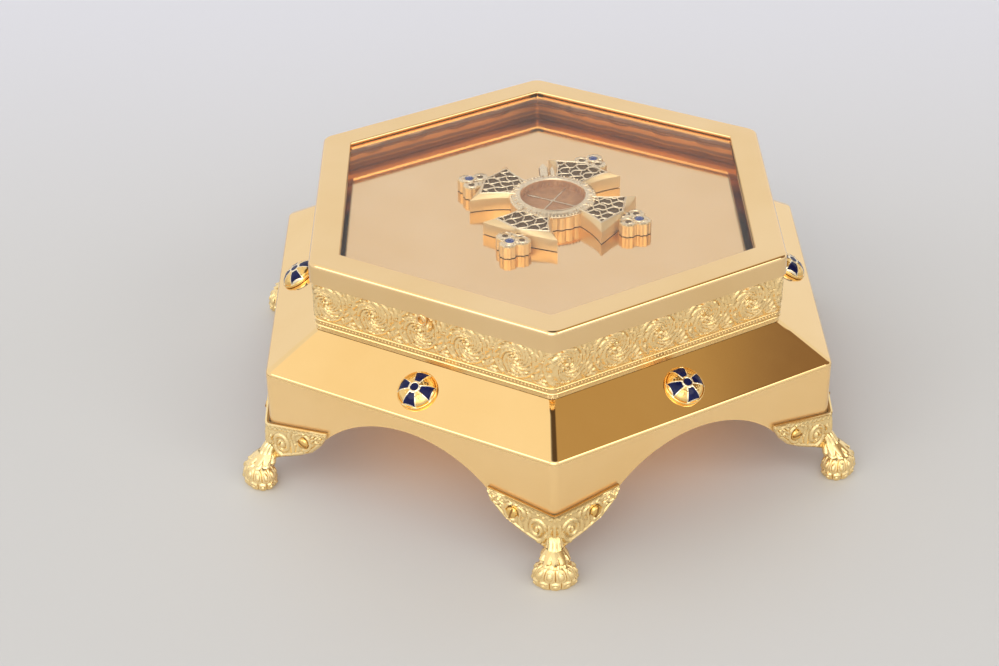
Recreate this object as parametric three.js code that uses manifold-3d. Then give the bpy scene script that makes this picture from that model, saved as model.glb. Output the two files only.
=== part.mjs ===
// A gilt hexagonal icon case: a sheet body with a sloped roof on six cast paw feet, an embossed
// neck band, a polished display floor with a cross reliquary on it, and a glazed lid that lifts off.
// Millimetres, +Z up. The origin is on the table under the middle of the case, and one corner
// points to -Y. A radius of a six-sided form is measured to its sharp corner.
import * as THREE from 'three';
import { mergeVertices } from 'three/addons/utils/BufferGeometryUtils.js';
import Module from 'manifold-3d';

const wasm = await Module();
wasm.setup();

// Driving dimensions of the body
const SIDES = 6;
const BODY_RADIUS = 150;
const EAVE_HEIGHT = 58;
const SKIRT_DEPTH = 35.5;
const SHEET = 1.6;
const EAVE_ROUND = 2;
const BODY_CORNER_FILLET = 5;
const ROOF_RISE = 15;
const ARCH_LEG = 24.6;
const ARCH_DROP = 8;
const SEAT_SHELF = 4;
const FIT_GAP = 0.3;

// Neck band and floor
const NECK_RADIUS = 123;
const NECK_WALL = 1.6;
const NECK_HEIGHT = 32.6;
const BAND_CORNER_FILLET = 4;
const BORDER_PROUD = 0.7;
const FOOT_STRIP = 2.2;
const BORDER_HEIGHT = 4;
const FLOOR_THICKNESS = 1.5;
const CROSS_HEADROOM = 0.4;
const LEDGE_WIDTH = 3;
const LEDGE_HEIGHT = 3;

// Lid
const LID_OVERHANG = 1.73;
const LID_WALL = 1.3;
const FASCIA_HEIGHT = 10.5;
const FRAME_PLATE = 2.5;
const FRAME_WIDTH = 14;
const FRAME_BEVEL = 0.9;
const LID_EDGE_ROUND = 2;
const LID_CORNER_FILLET = 6;
const LIP = 1;
const GLASS_THICKNESS = 1.2;
const GLASS_BITE = 3;

// Scroll relief of the neck
const SCROLLS_PER_SIDE = 5;
const RELIEF_PROUD = 0.9;
const SCROLL_RADIUS = 7.6;
const SCROLL_WIDTH = 2.6;
const ROSETTE_RADIUS = 2.6;
const LEAF_LENGTH = 12;
const LEAF_WIDTH = 3.6;
const LEAF_TILT = 1.05;

// Sealing lugs under the lid's front-left edge
const LUG_RING_RADIUS = 2.3;
const LUG_WIRE = 1.1;
const LUG_OFFSET = -3;
const LUG_SPACING = 4.5;
const LUG_PLATE = 1.2;
const LUG_REACH = 5;
const LUG_HEIGHT = 4.8;
const LUG_HOLE = 2.2;
const LUG_DROP = 1.2;

// Feet and their screws
const WING_LENGTH = 33.5;
const WING_THICKNESS = 1.5;
const WING_DROP = 27;
const WING_TIP_RISE = 5;
const WING_RIM = 1.3;
const WING_SCROLL_RADIUS = 5.8;
const WING_SCROLL_OUT = 8.4;
const WING_SCROLL_DROP = 8.8;
const WING_SCROLL_START = 2.2;
const WING_SCROLL_TURNS = 1.1;
const CARVING_PROUD = 0.7;
const ANKLE_HEIGHT = 12;
const ANKLE_RADIUS = 4.2;
const COLLAR_HEIGHT = 4.5;
const ANKLE_LEAN = 0.42;
const PAW_WIDTH = 21.8;
const PAW_LENGTH = 16;
const PAW_HEIGHT = 12;
const PAW_REACH = 15;
const TOES = 5;
const SCREW_FROM_CORNER = 20;
const SCREW_DROP = 4;
const SCREW_HEAD = 5.4;
const SCREW_HEAD_HEIGHT = 1.6;
const SCREW_SHANK = 2.5;
const SCREW_TAIL = 2;
const SLOT_WIDTH = 0.9;
const SLOT_DEPTH = 0.7;

// Medallions
const MEDALLION_DIAMETER = 18.8;
const MEDALLION_HEIGHT = 5;
const MEDALLION_RIM = 1.3;

// Cross reliquary
const CROSS_X = 4.4;
const CROSS_Y = 3.8;
const CROSS_TURN = 62;
const CROSS_WALL_HEIGHT = 6.2;
const CROSS_PANEL_HEIGHT = 8.2;
const CROSS_ARM_REACH = 34.8;
const CROSS_ARM_POINT = 2.2;
const CROSS_ARM_ROOT = 7;
const CROSS_ARM_TIP = 19.5;
const PANEL_ROOT = 6;
const PANEL_SHORT = 2.5;
const PANEL_TIP = 14.5;
const CROSS_LATTICE = 0.9;
const CROSS_LATTICE_BAR = 1.1;
const STONE_FROM_ARM = 10.4;
const FINIAL_LOBE = 4.4;
const FINIAL_HEIGHT = 6;
const BEZEL_RADIUS = 20.8;
const BEZEL_HEIGHT = 8.8;
const BEZEL_RIM = 1.6;
const WINDOW_RADIUS = 15.4;
const WINDOW_LEDGE_WIDTH = 1.2;
const WINDOW_THICKNESS = 1.4;
const WINDOW_WELL = 4.6;
const WINDOW_SINK = 0.9;
const STONE_RADIUS = 2.1;
const STONE_HEIGHT = 1.3;
const STONE_SEAT = 0.9;
const HANG_LUG_LENGTH = 14;
const HANG_LUG_WIDTH = 4.6;
const HANG_LUG_TURN = Math.PI / 6;

// Coarseness of small curves
const HOLE_SIDES = 6;
const FILLET_STEPS = 2;
const ARM_CURVE_STEPS = 4;

// Places worked out from the values above
const COS30 = Math.cos(Math.PI / SIDES);
const STEP = (2 * Math.PI) / SIDES;
const FIRST_CORNER = -Math.PI / 2;
const SKIRT_BOTTOM = EAVE_HEIGHT - SKIRT_DEPTH;
const ARCH_TOP = EAVE_HEIGHT - ARCH_DROP;
const ARCH_HALF = BODY_RADIUS / 2 - ARCH_LEG;
const ARCH_RISE = ARCH_TOP - SKIRT_BOTTOM;
const ARCH_RADIUS = (ARCH_HALF ** 2 + ARCH_RISE ** 2) / (2 * ARCH_RISE);
const STONE_REACH = CROSS_ARM_REACH + STONE_FROM_ARM;
const WING_TOP = EAVE_HEIGHT - WING_DROP;
const SCREW_HEIGHT = WING_TOP - SCREW_DROP;
const NECK_BOTTOM = EAVE_HEIGHT + ROOF_RISE + FIT_GAP;
const NECK_TOP = NECK_BOTTOM + NECK_HEIGHT;
const LID_RADIUS = NECK_RADIUS + LID_OVERHANG / COS30;
const PLATE_UNDERSIDE = NECK_TOP + FIT_GAP;
const LID_TOP = PLATE_UNDERSIDE + FRAME_PLATE;
const FASCIA_BOTTOM = LID_TOP - FASCIA_HEIGHT;
const OPENING_RADIUS = LID_RADIUS - FRAME_WIDTH / COS30;
const GLASS_TOP = LID_TOP - LIP - FIT_GAP;
const GLASS_RADIUS = OPENING_RADIUS + GLASS_BITE / COS30;
const FLOOR_TOP = GLASS_TOP - GLASS_THICKNESS - CROSS_HEADROOM - BEZEL_HEIGHT - FIT_GAP;
const LEDGE_TOP = FLOOR_TOP - FLOOR_THICKNESS - FIT_GAP;
const RELIEF_BOTTOM = NECK_BOTTOM + FOOT_STRIP + BORDER_HEIGHT;
const SKIRT_APOTHEM = BODY_RADIUS * COS30;
const NECK_APOTHEM = NECK_RADIUS * COS30;

const gilt = new THREE.MeshStandardMaterial({ color: 0xe9c172, metalness: 1, roughness: 0.14 });
const castGilt = new THREE.MeshStandardMaterial({ color: 0xe2b557, metalness: 1, roughness: 0.3 });
const crossGilt = new THREE.MeshStandardMaterial({ color: 0xd9c08a, metalness: 1, roughness: 0.3 });
const enamel = new THREE.MeshStandardMaterial({ color: 0x1b2350, metalness: 0.2, roughness: 0.2 });
const stone = new THREE.MeshStandardMaterial({ color: 0x34498c, metalness: 0, roughness: 0.15 });
const clearGlass = new THREE.MeshStandardMaterial({
  color: 0xffffff, metalness: 0, roughness: 0.03, transparent: true, opacity: 0.25,
});

// The corner radius of a six-sided form whose flats lie a distance further in.
function inset(cornerRadius, distance) {
  return cornerRadius - distance / COS30;
}

// Booleans: a three.js geometry to a solid and back.
function toSolid(geometry) {
  const bare = geometry.clone();
  bare.deleteAttribute('normal');
  bare.deleteAttribute('uv');
  const merged = mergeVertices(bare, 1e-4);
  return new wasm.Manifold(new wasm.Mesh({
    numProp: 3,
    vertProperties: new Float32Array(merged.attributes.position.array),
    triVerts: new Uint32Array(merged.index.array),
  }));
}

function toGeometry(solid) {
  const mesh = solid.getMesh();
  const geometry = new THREE.BufferGeometry();
  geometry.setAttribute('position', new THREE.BufferAttribute(mesh.vertProperties, 3));
  geometry.setIndex(new THREE.BufferAttribute(mesh.triVerts, 1));
  const flat = geometry.toNonIndexed();
  flat.computeVertexNormals();
  return flat;
}

function joined(solids) {
  return solids.reduce((sum, solid) => sum.add(solid));
}

// The outline of a six-sided ring with filleted corners, at a height.
function ringPoints(cornerRadius, fillet, height) {
  const points = [];
  const centre = inset(cornerRadius, fillet);
  for (let corner = 0; corner < SIDES; corner += 1) {
    const angle = FIRST_CORNER + corner * STEP;
    for (let step = 0; step <= FILLET_STEPS; step += 1) {
      const turn = angle + (step / FILLET_STEPS - 0.5) * STEP;
      points.push(new THREE.Vector3(
        centre * Math.cos(angle) + fillet * Math.cos(turn),
        centre * Math.sin(angle) + fillet * Math.sin(turn),
        height,
      ));
    }
  }
  return points;
}

// A closed profile of [corner radius, height, corner fillet] carried round the six sides. It runs
// anticlockwise as seen with the radius to the right and the height up.
function sixSidedBody(profile) {
  const rings = profile.map(([radius, height, fillet]) => ringPoints(radius, fillet, height));
  const count = rings[0].length;
  const positions = rings.flat().flatMap((point) => point.toArray());
  const index = [];
  for (let ring = 0; ring < rings.length; ring += 1) {
    const next = (ring + 1) % rings.length;
    for (let i = 0; i < count; i += 1) {
      const j = (i + 1) % count;
      index.push(ring * count + i, ring * count + j, next * count + j);
      index.push(ring * count + i, next * count + j, next * count + i);
    }
  }
  const geometry = new THREE.BufferGeometry();
  geometry.setAttribute('position', new THREE.Float32BufferAttribute(positions, 3));
  geometry.setIndex(index);
  geometry.computeVertexNormals();
  return geometry;
}

// A flat six-sided plate.
function sixSidedPlate(cornerRadius, fillet, thickness) {
  const shape = new THREE.Shape(ringPoints(cornerRadius, fillet, 0));
  return new THREE.ExtrudeGeometry(shape, { depth: thickness, bevelEnabled: false });
}

// A prism drawn on the face of a side: x runs along the side, y is the height, and it stands
// proud from the given distance outwards. The side's outward direction is the angle.
function onSide(shape, angle, distance, depth, curveSegments = 6) {
  const geometry = new THREE.ExtrudeGeometry(shape, { depth, bevelEnabled: false, curveSegments });
  const outward = new THREE.Vector3(Math.cos(angle), Math.sin(angle), 0);
  const along = new THREE.Vector3(-Math.sin(angle), Math.cos(angle), 0);
  const up = new THREE.Vector3(0, 0, 1);
  const matrix = new THREE.Matrix4().makeBasis(along, up, outward);
  geometry.applyMatrix4(matrix);
  geometry.translate(outward.x * distance, outward.y * distance, 0);
  return toSolid(geometry);
}

function cornerAngle(corner) {
  return FIRST_CORNER + corner * STEP;
}

function sideAngle(side) {
  return FIRST_CORNER + (side + 0.5) * STEP;
}

const model = new THREE.Group();

function addMesh(name, geometry, material, parent = model) {
  const mesh = new THREE.Mesh(geometry, material);
  mesh.name = name;
  parent.add(mesh);
  return mesh;
}

// Base shell: skirt, eave and roof in one sheet, with a shelf on which the neck stands.
const ROOF_RUN = (BODY_RADIUS - NECK_RADIUS) * COS30;
const ROOF_SLOPE = Math.atan2(ROOF_RISE, ROOF_RUN);
const MEDALLION_FROM_EAVE = 0.49;

function screwHole(side, sign) {
  const angle = sideAngle(side);
  const halfSide = BODY_RADIUS / 2;
  const geometry = new THREE.CylinderGeometry(
    SCREW_SHANK / 2 + FIT_GAP, SCREW_SHANK / 2 + FIT_GAP, 4 * SHEET + 2 * WING_THICKNESS, HOLE_SIDES,
  );
  geometry.rotateZ(Math.PI / 2);
  geometry.translate(SKIRT_APOTHEM, sign * (halfSide - SCREW_FROM_CORNER), SCREW_HEIGHT);
  geometry.rotateZ(angle);
  return toSolid(geometry);
}

// A medallion's frame: its origin is on the roof face, its +Z is the face's outward normal.
function medallionMatrix(side) {
  const run = ROOF_RUN * MEDALLION_FROM_EAVE;
  const place = new THREE.Matrix4().makeTranslation(
    SKIRT_APOTHEM - run, 0, EAVE_HEIGHT + ROOF_RISE * MEDALLION_FROM_EAVE,
  );
  const lean = new THREE.Matrix4().makeRotationY(ROOF_SLOPE);
  const turn = new THREE.Matrix4().makeRotationZ(sideAngle(side));
  return turn.multiply(place).multiply(lean);
}

function baseShell() {
  const under = SHEET / Math.cos(ROOF_SLOPE);
  const shelf = inset(NECK_RADIUS, NECK_WALL + SEAT_SHELF);
  const innerSkirt = inset(BODY_RADIUS, SHEET);
  const innerEave = EAVE_HEIGHT - under + SHEET * Math.tan(ROOF_SLOPE);
  const innerTop = inset(NECK_RADIUS, (under - SHEET) / Math.tan(ROOF_SLOPE));
  const roofTop = EAVE_HEIGHT + ROOF_RISE;
  const outerFillet = BODY_CORNER_FILLET;
  const innerFillet = BODY_CORNER_FILLET - SHEET;
  const roundRise = EAVE_ROUND * COS30 * Math.tan(ROOF_SLOPE);
  const profile = [
    [innerSkirt, SKIRT_BOTTOM, innerFillet],
    [BODY_RADIUS, SKIRT_BOTTOM, outerFillet],
    [BODY_RADIUS, EAVE_HEIGHT - EAVE_ROUND, outerFillet],
    [BODY_RADIUS - EAVE_ROUND * 0.3, EAVE_HEIGHT - EAVE_ROUND * 0.2, outerFillet],
    [BODY_RADIUS - EAVE_ROUND, EAVE_HEIGHT + roundRise, outerFillet],
    [NECK_RADIUS, roofTop, BAND_CORNER_FILLET],
    [shelf, roofTop, innerFillet],
    [shelf, roofTop - SHEET, innerFillet],
    [innerTop, roofTop - SHEET, innerFillet],
    [innerSkirt, innerEave, innerFillet],
  ];
  let solid = toSolid(sixSidedBody(profile));
  const cuts = [];
  for (let side = 0; side < SIDES / 2; side += 1) {
    const arch = new THREE.CylinderGeometry(ARCH_RADIUS, ARCH_RADIUS, 3 * BODY_RADIUS, 40);
    arch.rotateZ(Math.PI / 2);
    arch.translate(0, 0, ARCH_TOP - ARCH_RADIUS);
    arch.rotateZ(sideAngle(side));
    cuts.push(toSolid(arch));
  }
  for (let side = 0; side < SIDES; side += 1) {
    cuts.push(screwHole(side, -1), screwHole(side, 1));
  }
  for (const cut of cuts) solid = solid.subtract(cut);
  return toGeometry(solid);
}

addMesh('base_shell', baseShell(), gilt);

// Neck band: wall, beaded border, inner ledge, scroll relief and the sealing lug.
function scrollShape(x, y, mirror) {
  const steps = 4;
  const turns = 0.9;
  const outer = [];
  const inner = [];
  for (let i = 0; i <= steps; i += 1) {
    const t = i / steps;
    const angle = (0.55 + t * turns) * 2 * Math.PI * mirror;
    const radius = SCROLL_RADIUS * (1 - 0.38 * t);
    const width = SCROLL_WIDTH * (0.55 + 0.45 * Math.sin(Math.PI * t)) * (1 - 0.45 * t);
    outer.push(new THREE.Vector2(x + radius * Math.cos(angle), y + radius * Math.sin(angle)));
    inner.push(new THREE.Vector2(
      x + (radius - width) * Math.cos(angle), y + (radius - width) * Math.sin(angle),
    ));
  }
  return new THREE.Shape([...outer, ...inner.reverse()]);
}

function polygon(x, y, radius, sides) {
  return Array.from({ length: sides }, (_, i) => {
    const angle = ((i + 0.5) / sides) * 2 * Math.PI;
    return new THREE.Vector2(x + radius * Math.cos(angle), y + radius * Math.sin(angle));
  });
}

function leafShape(x, y, angle, length, width) {
  const along = new THREE.Vector2(Math.cos(angle), Math.sin(angle));
  const across = new THREE.Vector2(-along.y, along.x);
  const at = (t, w) => new THREE.Vector2(
    x + along.x * t * length + across.x * w * width,
    y + along.y * t * length + across.y * w * width,
  );
  return new THREE.Shape([at(0, 0), at(0.55, -0.5), at(1, 0.1), at(0.5, 0.5)]);
}

function rosette(x, y, angle) {
  const lobe = new THREE.Shape(polygon(x, y, ROSETTE_RADIUS, 5));
  return onSide(lobe, angle, NECK_APOTHEM - NECK_WALL / 2, NECK_WALL / 2 + RELIEF_PROUD * 1.25, 3);
}

function neckBand() {
  const outer = NECK_RADIUS;
  const inner = inset(NECK_RADIUS, NECK_WALL);
  const ledge = inset(NECK_RADIUS, NECK_WALL + LEDGE_WIDTH);
  const border = inset(NECK_RADIUS, -BORDER_PROUD);
  const outerFillet = BAND_CORNER_FILLET;
  const innerFillet = BAND_CORNER_FILLET - NECK_WALL;
  const profile = [
    [inner, NECK_BOTTOM, innerFillet],
    [outer, NECK_BOTTOM, outerFillet],
    [outer, NECK_BOTTOM + FOOT_STRIP, outerFillet],
    [border, NECK_BOTTOM + FOOT_STRIP + BORDER_PROUD, outerFillet],
    [border, RELIEF_BOTTOM - BORDER_PROUD, outerFillet],
    [outer, RELIEF_BOTTOM, outerFillet],
    [outer, NECK_TOP, outerFillet],
    [inner, NECK_TOP, innerFillet],
    [inner, LEDGE_TOP, innerFillet],
    [ledge, LEDGE_TOP, innerFillet],
    [ledge, LEDGE_TOP - LEDGE_HEIGHT, innerFillet],
    [inner, LEDGE_TOP - LEDGE_HEIGHT - LEDGE_WIDTH, innerFillet],
  ];
  let solid = toSolid(sixSidedBody(profile));
  const pitch = NECK_RADIUS / SCROLLS_PER_SIDE;
  const middle = (RELIEF_BOTTOM + FASCIA_BOTTOM) / 2;
  const root = NECK_APOTHEM - NECK_WALL / 2;
  const depth = NECK_WALL / 2 + RELIEF_PROUD;
  for (let side = 0; side < SIDES; side += 1) {
    const angle = sideAngle(side);
    for (let i = 0; i < SCROLLS_PER_SIDE; i += 1) {
      const x = (i - (SCROLLS_PER_SIDE - 1) / 2) * pitch;
      const leafX = x + pitch / 2 - 0.5 * LEAF_LENGTH * Math.cos(LEAF_TILT);
      const leafY = middle - 0.5 * LEAF_LENGTH * Math.sin(LEAF_TILT);
      const last = i === SCROLLS_PER_SIDE - 1;
      const pieces = [onSide(scrollShape(x, middle, -1), angle, root, depth), rosette(x, middle, angle)];
      if (!last) {
        const leaf = leafShape(leafX, leafY, LEAF_TILT, LEAF_LENGTH, LEAF_WIDTH);
        pieces.push(onSide(leaf, angle, root, depth));
      }
      solid = solid.add(joined(pieces));
    }
  }
  return toGeometry(solid.add(bodyLug()));
}

// The upright lug on the neck that a sealing wire passes through.
function bodyLug() {
  const front = sideAngle(SIDES - 1);
  const top = FASCIA_BOTTOM - LUG_DROP;
  const root = NECK_APOTHEM - NECK_WALL / 2;
  const reach = NECK_APOTHEM + LUG_REACH;
  const plate = new THREE.Shape();
  plate.moveTo(root, top - LUG_HEIGHT);
  plate.lineTo(reach - LUG_HEIGHT / 2, top - LUG_HEIGHT);
  plate.absarc(reach - LUG_HEIGHT / 2, top - LUG_HEIGHT / 2, LUG_HEIGHT / 2, -Math.PI / 2, Math.PI / 2);
  plate.lineTo(root, top);
  const hole = new THREE.Path();
  hole.absarc(reach - LUG_HEIGHT / 2, top - LUG_HEIGHT / 2, LUG_HOLE / 2, 0, 2 * Math.PI, true);
  plate.holes.push(hole);
  const geometry = new THREE.ExtrudeGeometry(plate, {
    depth: LUG_PLATE, bevelEnabled: false, curveSegments: 6,
  });
  geometry.translate(0, 0, -LUG_PLATE / 2);
  geometry.rotateX(Math.PI / 2);
  geometry.translate(0, LUG_OFFSET + LUG_SPACING, 0);
  geometry.rotateZ(front);
  return toSolid(geometry);
}

addMesh('neck_band', neckBand(), gilt);

// Display floor: a plate on the neck's ledge.
const FLOOR_RADIUS = inset(NECK_RADIUS, NECK_WALL + FIT_GAP);
const FLOOR_FILLET = BAND_CORNER_FILLET - NECK_WALL;
addMesh('display_floor', sixSidedPlate(FLOOR_RADIUS, FLOOR_FILLET, FLOOR_THICKNESS), gilt)
  .position.set(0, 0, FLOOR_TOP - FLOOR_THICKNESS);

// Lid: a flat frame with a downturned rim and a folded channel that holds the pane.
function lidRing() {
  const front = sideAngle(SIDES - 1);
  const ring = new THREE.TorusGeometry(LUG_RING_RADIUS, LUG_WIRE / 2, 5, 10);
  ring.rotateY(Math.PI / 2);
  ring.translate(LID_RADIUS * COS30, LUG_OFFSET, FASCIA_BOTTOM - LUG_RING_RADIUS + LUG_WIRE / 4);
  ring.rotateZ(front);
  return toSolid(ring);
}

function lidFrame() {
  const rimInner = inset(LID_RADIUS, LID_WALL);
  const grooveWall = GLASS_RADIUS + FIT_GAP / COS30;
  const grooveTop = LID_TOP - LIP;
  const grooveBottom = GLASS_TOP - GLASS_THICKNESS - FIT_GAP;
  const channelOuter = grooveWall + LID_WALL / COS30;
  const outerFillet = LID_CORNER_FILLET;
  const rimFillet = LID_CORNER_FILLET - LID_WALL;
  const innerFillet = LID_WALL / 2;
  const profile = [
    [rimInner, FASCIA_BOTTOM, rimFillet],
    [LID_RADIUS, FASCIA_BOTTOM, outerFillet],
    [LID_RADIUS, LID_TOP - LID_EDGE_ROUND, outerFillet],
    [LID_RADIUS - LID_EDGE_ROUND * 0.3, LID_TOP - LID_EDGE_ROUND * 0.3, outerFillet],
    [LID_RADIUS - LID_EDGE_ROUND, LID_TOP, outerFillet],
    [OPENING_RADIUS + FRAME_BEVEL / COS30, LID_TOP, innerFillet],
    [OPENING_RADIUS, LID_TOP - LIP * 0.8, innerFillet],
    [OPENING_RADIUS, grooveTop, innerFillet],
    [grooveWall, grooveTop, innerFillet],
    [grooveWall, grooveBottom, innerFillet],
    [OPENING_RADIUS, grooveBottom, innerFillet],
    [OPENING_RADIUS, grooveBottom - LIP, innerFillet],
    [channelOuter, grooveBottom - LIP, innerFillet],
    [channelOuter, PLATE_UNDERSIDE, innerFillet],
    [rimInner, PLATE_UNDERSIDE, rimFillet],
  ];
  return toGeometry(toSolid(sixSidedBody(profile)).add(lidRing()));
}

addMesh('lid_frame', lidFrame(), gilt);
addMesh('lid_glass', sixSidedPlate(GLASS_RADIUS, 1, GLASS_THICKNESS), clearGlass)
  .position.set(0, 0, GLASS_TOP - GLASS_THICKNESS);

// Foot: made for the corner on +X, then turned to each corner. Two wings lie against the skirt,
// an ankle leans out from under them, and a paw of toes stands on the table.
const WING_FACE = SKIRT_APOTHEM + FIT_GAP;
const WING_OUTSIDE = WING_FACE + WING_THICKNESS;

// Drawn with x as the distance from the corner and y as the height.
function wingOutline() {
  const overlap = (FIT_GAP + WING_THICKNESS) * Math.tan(STEP / 2);
  const tipTop = WING_TOP + WING_TIP_RISE;
  const above = (share) => ANKLE_HEIGHT + share * (WING_TOP - ANKLE_HEIGHT);
  const shape = new THREE.Shape();
  shape.moveTo(-overlap, ANKLE_HEIGHT);
  shape.lineTo(ANKLE_RADIUS, ANKLE_HEIGHT);
  shape.quadraticCurveTo(1.5 * ANKLE_RADIUS, above(0.12), 0.42 * WING_LENGTH, above(0.25));
  shape.quadraticCurveTo(0.84 * WING_LENGTH, above(0.5), WING_LENGTH, tipTop - 2.4);
  shape.lineTo(WING_LENGTH, tipTop);
  shape.lineTo(0, WING_TOP);
  shape.lineTo(-overlap, WING_TOP);
  return shape;
}

// A tapering scroll that winds inwards from a start angle.
function wingScroll(x, y, radius) {
  const steps = 5;
  const points = [];
  const add = (t, r) => {
    const angle = WING_SCROLL_START + t * WING_SCROLL_TURNS * 2 * Math.PI;
    points.push(new THREE.Vector2(x + r * Math.cos(angle), y + r * Math.sin(angle)));
  };
  for (let i = 0; i <= steps; i += 1) add(i / steps, radius * (1 - (0.55 * i) / steps));
  for (let i = steps; i >= 0; i -= 1) add(i / steps, (radius - WING_RIM) * (1 - (0.65 * i) / steps));
  return new THREE.Shape(points);
}

// A wing shape as a prism on the side at a corner: sign is +1 for the side that follows it.
function onWing(shape, sign, distance, depth) {
  const halfSide = BODY_RADIUS / 2;
  const points = shape.getPoints(3).map((p) => new THREE.Vector2(-sign * (halfSide - p.x), p.y));
  return onSide(new THREE.Shape(points), (sign * STEP) / 2, distance, depth);
}

function ellipsoid(size, place, turn, segments, rings) {
  const geometry = new THREE.SphereGeometry(0.5, segments, rings);
  geometry.rotateX(Math.PI / 2);
  geometry.scale(...size);
  geometry.rotateZ(turn);
  geometry.translate(...place);
  return toSolid(geometry);
}

function paw() {
  const centre = BODY_RADIUS + PAW_REACH - PAW_LENGTH / 2;
  const pieces = [ellipsoid(
    [PAW_LENGTH * 0.9, PAW_WIDTH * 0.88, PAW_HEIGHT * 1.3], [centre, 0, PAW_HEIGHT * 0.35], 0, 8, 5,
  )];
  const spread = Math.PI;
  const toeLength = PAW_WIDTH * 0.34;
  for (let toe = 0; toe < TOES; toe += 1) {
    const turn = (toe / (TOES - 1) - 0.5) * spread;
    const place = [
      centre + ((PAW_LENGTH - toeLength) / 2) * Math.cos(turn),
      ((PAW_WIDTH - toeLength) / 2) * Math.sin(turn),
      PAW_HEIGHT * 0.33,
    ];
    pieces.push(ellipsoid([toeLength, PAW_WIDTH * 0.29, PAW_HEIGHT * 0.8], place, turn, 7, 4));
  }
  return joined(pieces);
}

// A narrow waist that leans out from the fold, and a flared collar over the paw.
function ankle() {
  const leaning = (top, bottom, length, x, z) => {
    const geometry = new THREE.CylinderGeometry(top, bottom, length, 8);
    geometry.rotateX(Math.PI / 2);
    geometry.rotateY(-ANKLE_LEAN);
    geometry.translate(x, 0, z);
    return toSolid(geometry);
  };
  const waist = leaning(
    ANKLE_RADIUS * 0.85, ANKLE_RADIUS, ANKLE_HEIGHT, BODY_RADIUS + 1.6, ANKLE_HEIGHT + 1.5,
  );
  const collar = leaning(
    ANKLE_RADIUS * 0.95, ANKLE_RADIUS * 1.5, COLLAR_HEIGHT, BODY_RADIUS + 3, ANKLE_HEIGHT + 0.4,
  );
  return waist.add(collar);
}

function foot() {
  const pieces = [ankle(), paw()];
  const root = WING_FACE + WING_THICKNESS / 2;
  const proud = WING_THICKNESS / 2 + CARVING_PROUD;
  for (const sign of [-1, 1]) {
    pieces.push(onWing(wingOutline(), sign, WING_FACE, WING_THICKNESS));
    pieces.push(onWing(wingScroll(WING_SCROLL_OUT, WING_TOP - WING_SCROLL_DROP, WING_SCROLL_RADIUS), sign, root, proud));
  }
  const table = new THREE.BoxGeometry(4 * PAW_LENGTH, 4 * PAW_WIDTH, 4 * PAW_HEIGHT);
  table.translate(BODY_RADIUS, 0, -2 * PAW_HEIGHT);
  let solid = joined(pieces).subtract(toSolid(table));
  for (const sign of [-1, 1]) solid = solid.subtract(wingHole(sign));
  return toGeometry(solid);
}

// The screw's way through a wing, in the foot's own frame.
function wingHole(sign) {
  const radius = SCREW_SHANK / 2 + FIT_GAP;
  const geometry = new THREE.CylinderGeometry(radius, radius, 4 * WING_THICKNESS, HOLE_SIDES);
  geometry.rotateZ(Math.PI / 2);
  geometry.translate(WING_OUTSIDE, -sign * (BODY_RADIUS / 2 - SCREW_FROM_CORNER), SCREW_HEIGHT);
  geometry.rotateZ((sign * STEP) / 2);
  return toSolid(geometry);
}

// Screw: a slotted domed head and its shank, along +X with the seat of the head at x = 0.
function screw() {
  const shank = SCREW_SHANK / 2;
  const head = SCREW_HEAD / 2;
  const length = FIT_GAP + WING_THICKNESS + FIT_GAP + SHEET + SCREW_TAIL;
  const profile = [
    [0, -length], [shank, -length], [shank, 0], [head, 0], [head, SCREW_HEAD_HEIGHT * 0.4],
    [head * 0.6, SCREW_HEAD_HEIGHT], [0, SCREW_HEAD_HEIGHT],
  ];
  const body = new THREE.LatheGeometry(profile.map(([x, y]) => new THREE.Vector2(x, y)), 7);
  const slot = new THREE.BoxGeometry(2 * SCREW_HEAD, 2 * SLOT_DEPTH, SLOT_WIDTH);
  slot.rotateY(Math.PI / 5);
  slot.translate(0, SCREW_HEAD_HEIGHT, 0);
  return toGeometry(toSolid(body).subtract(toSolid(slot))).rotateZ(-Math.PI / 2);
}

const footGeometry = foot();
const screwGeometry = screw();
for (let corner = 0; corner < SIDES; corner += 1) {
  addMesh(`foot_${corner + 1}`, footGeometry, castGilt).rotation.z = cornerAngle(corner);
}
for (let side = 0; side < SIDES; side += 1) {
  const turned = new THREE.Group();
  turned.rotation.z = sideAngle(side);
  model.add(turned);
  for (const sign of [-1, 1]) {
    const name = `foot_screw_${2 * side + (sign + 3) / 2}`;
    addMesh(name, screwGeometry, castGilt, turned)
      .position.set(WING_OUTSIDE + FIT_GAP, sign * (BODY_RADIUS / 2 - SCREW_FROM_CORNER), SCREW_HEIGHT);
  }
}

// Medallion: a rimmed dome, its base just off the roof face and its axis on +Z.
function medallion() {
  const radius = MEDALLION_DIAMETER / 2;
  const base = FIT_GAP;
  const top = base + MEDALLION_HEIGHT;
  const domeRadius = radius - MEDALLION_RIM;
  const profile = [
    [0, base], [radius, base], [radius, base + MEDALLION_RIM * 0.7],
    [radius - MEDALLION_RIM * 0.5, base + MEDALLION_RIM],
  ];
  const domeSteps = 3;
  for (let i = 0; i <= domeSteps; i += 1) {
    const t = (i / domeSteps) * (Math.PI / 2);
    const foot = base + MEDALLION_RIM * 0.8;
    profile.push([domeRadius * Math.cos(t), foot + (top - foot) * Math.sin(t)]);
  }
  profile[profile.length - 1][0] = 0;
  const points = profile.map(([x, y]) => new THREE.Vector2(x, y));
  return new THREE.LatheGeometry(points, 14).rotateX(Math.PI / 2);
}

const medallionGeometry = medallion();
for (let side = 0; side < SIDES; side += 1) {
  const mesh = addMesh(`medallion_${side + 1}`, medallionGeometry, enamel);
  mesh.applyMatrix4(medallionMatrix(side));
}

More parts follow.
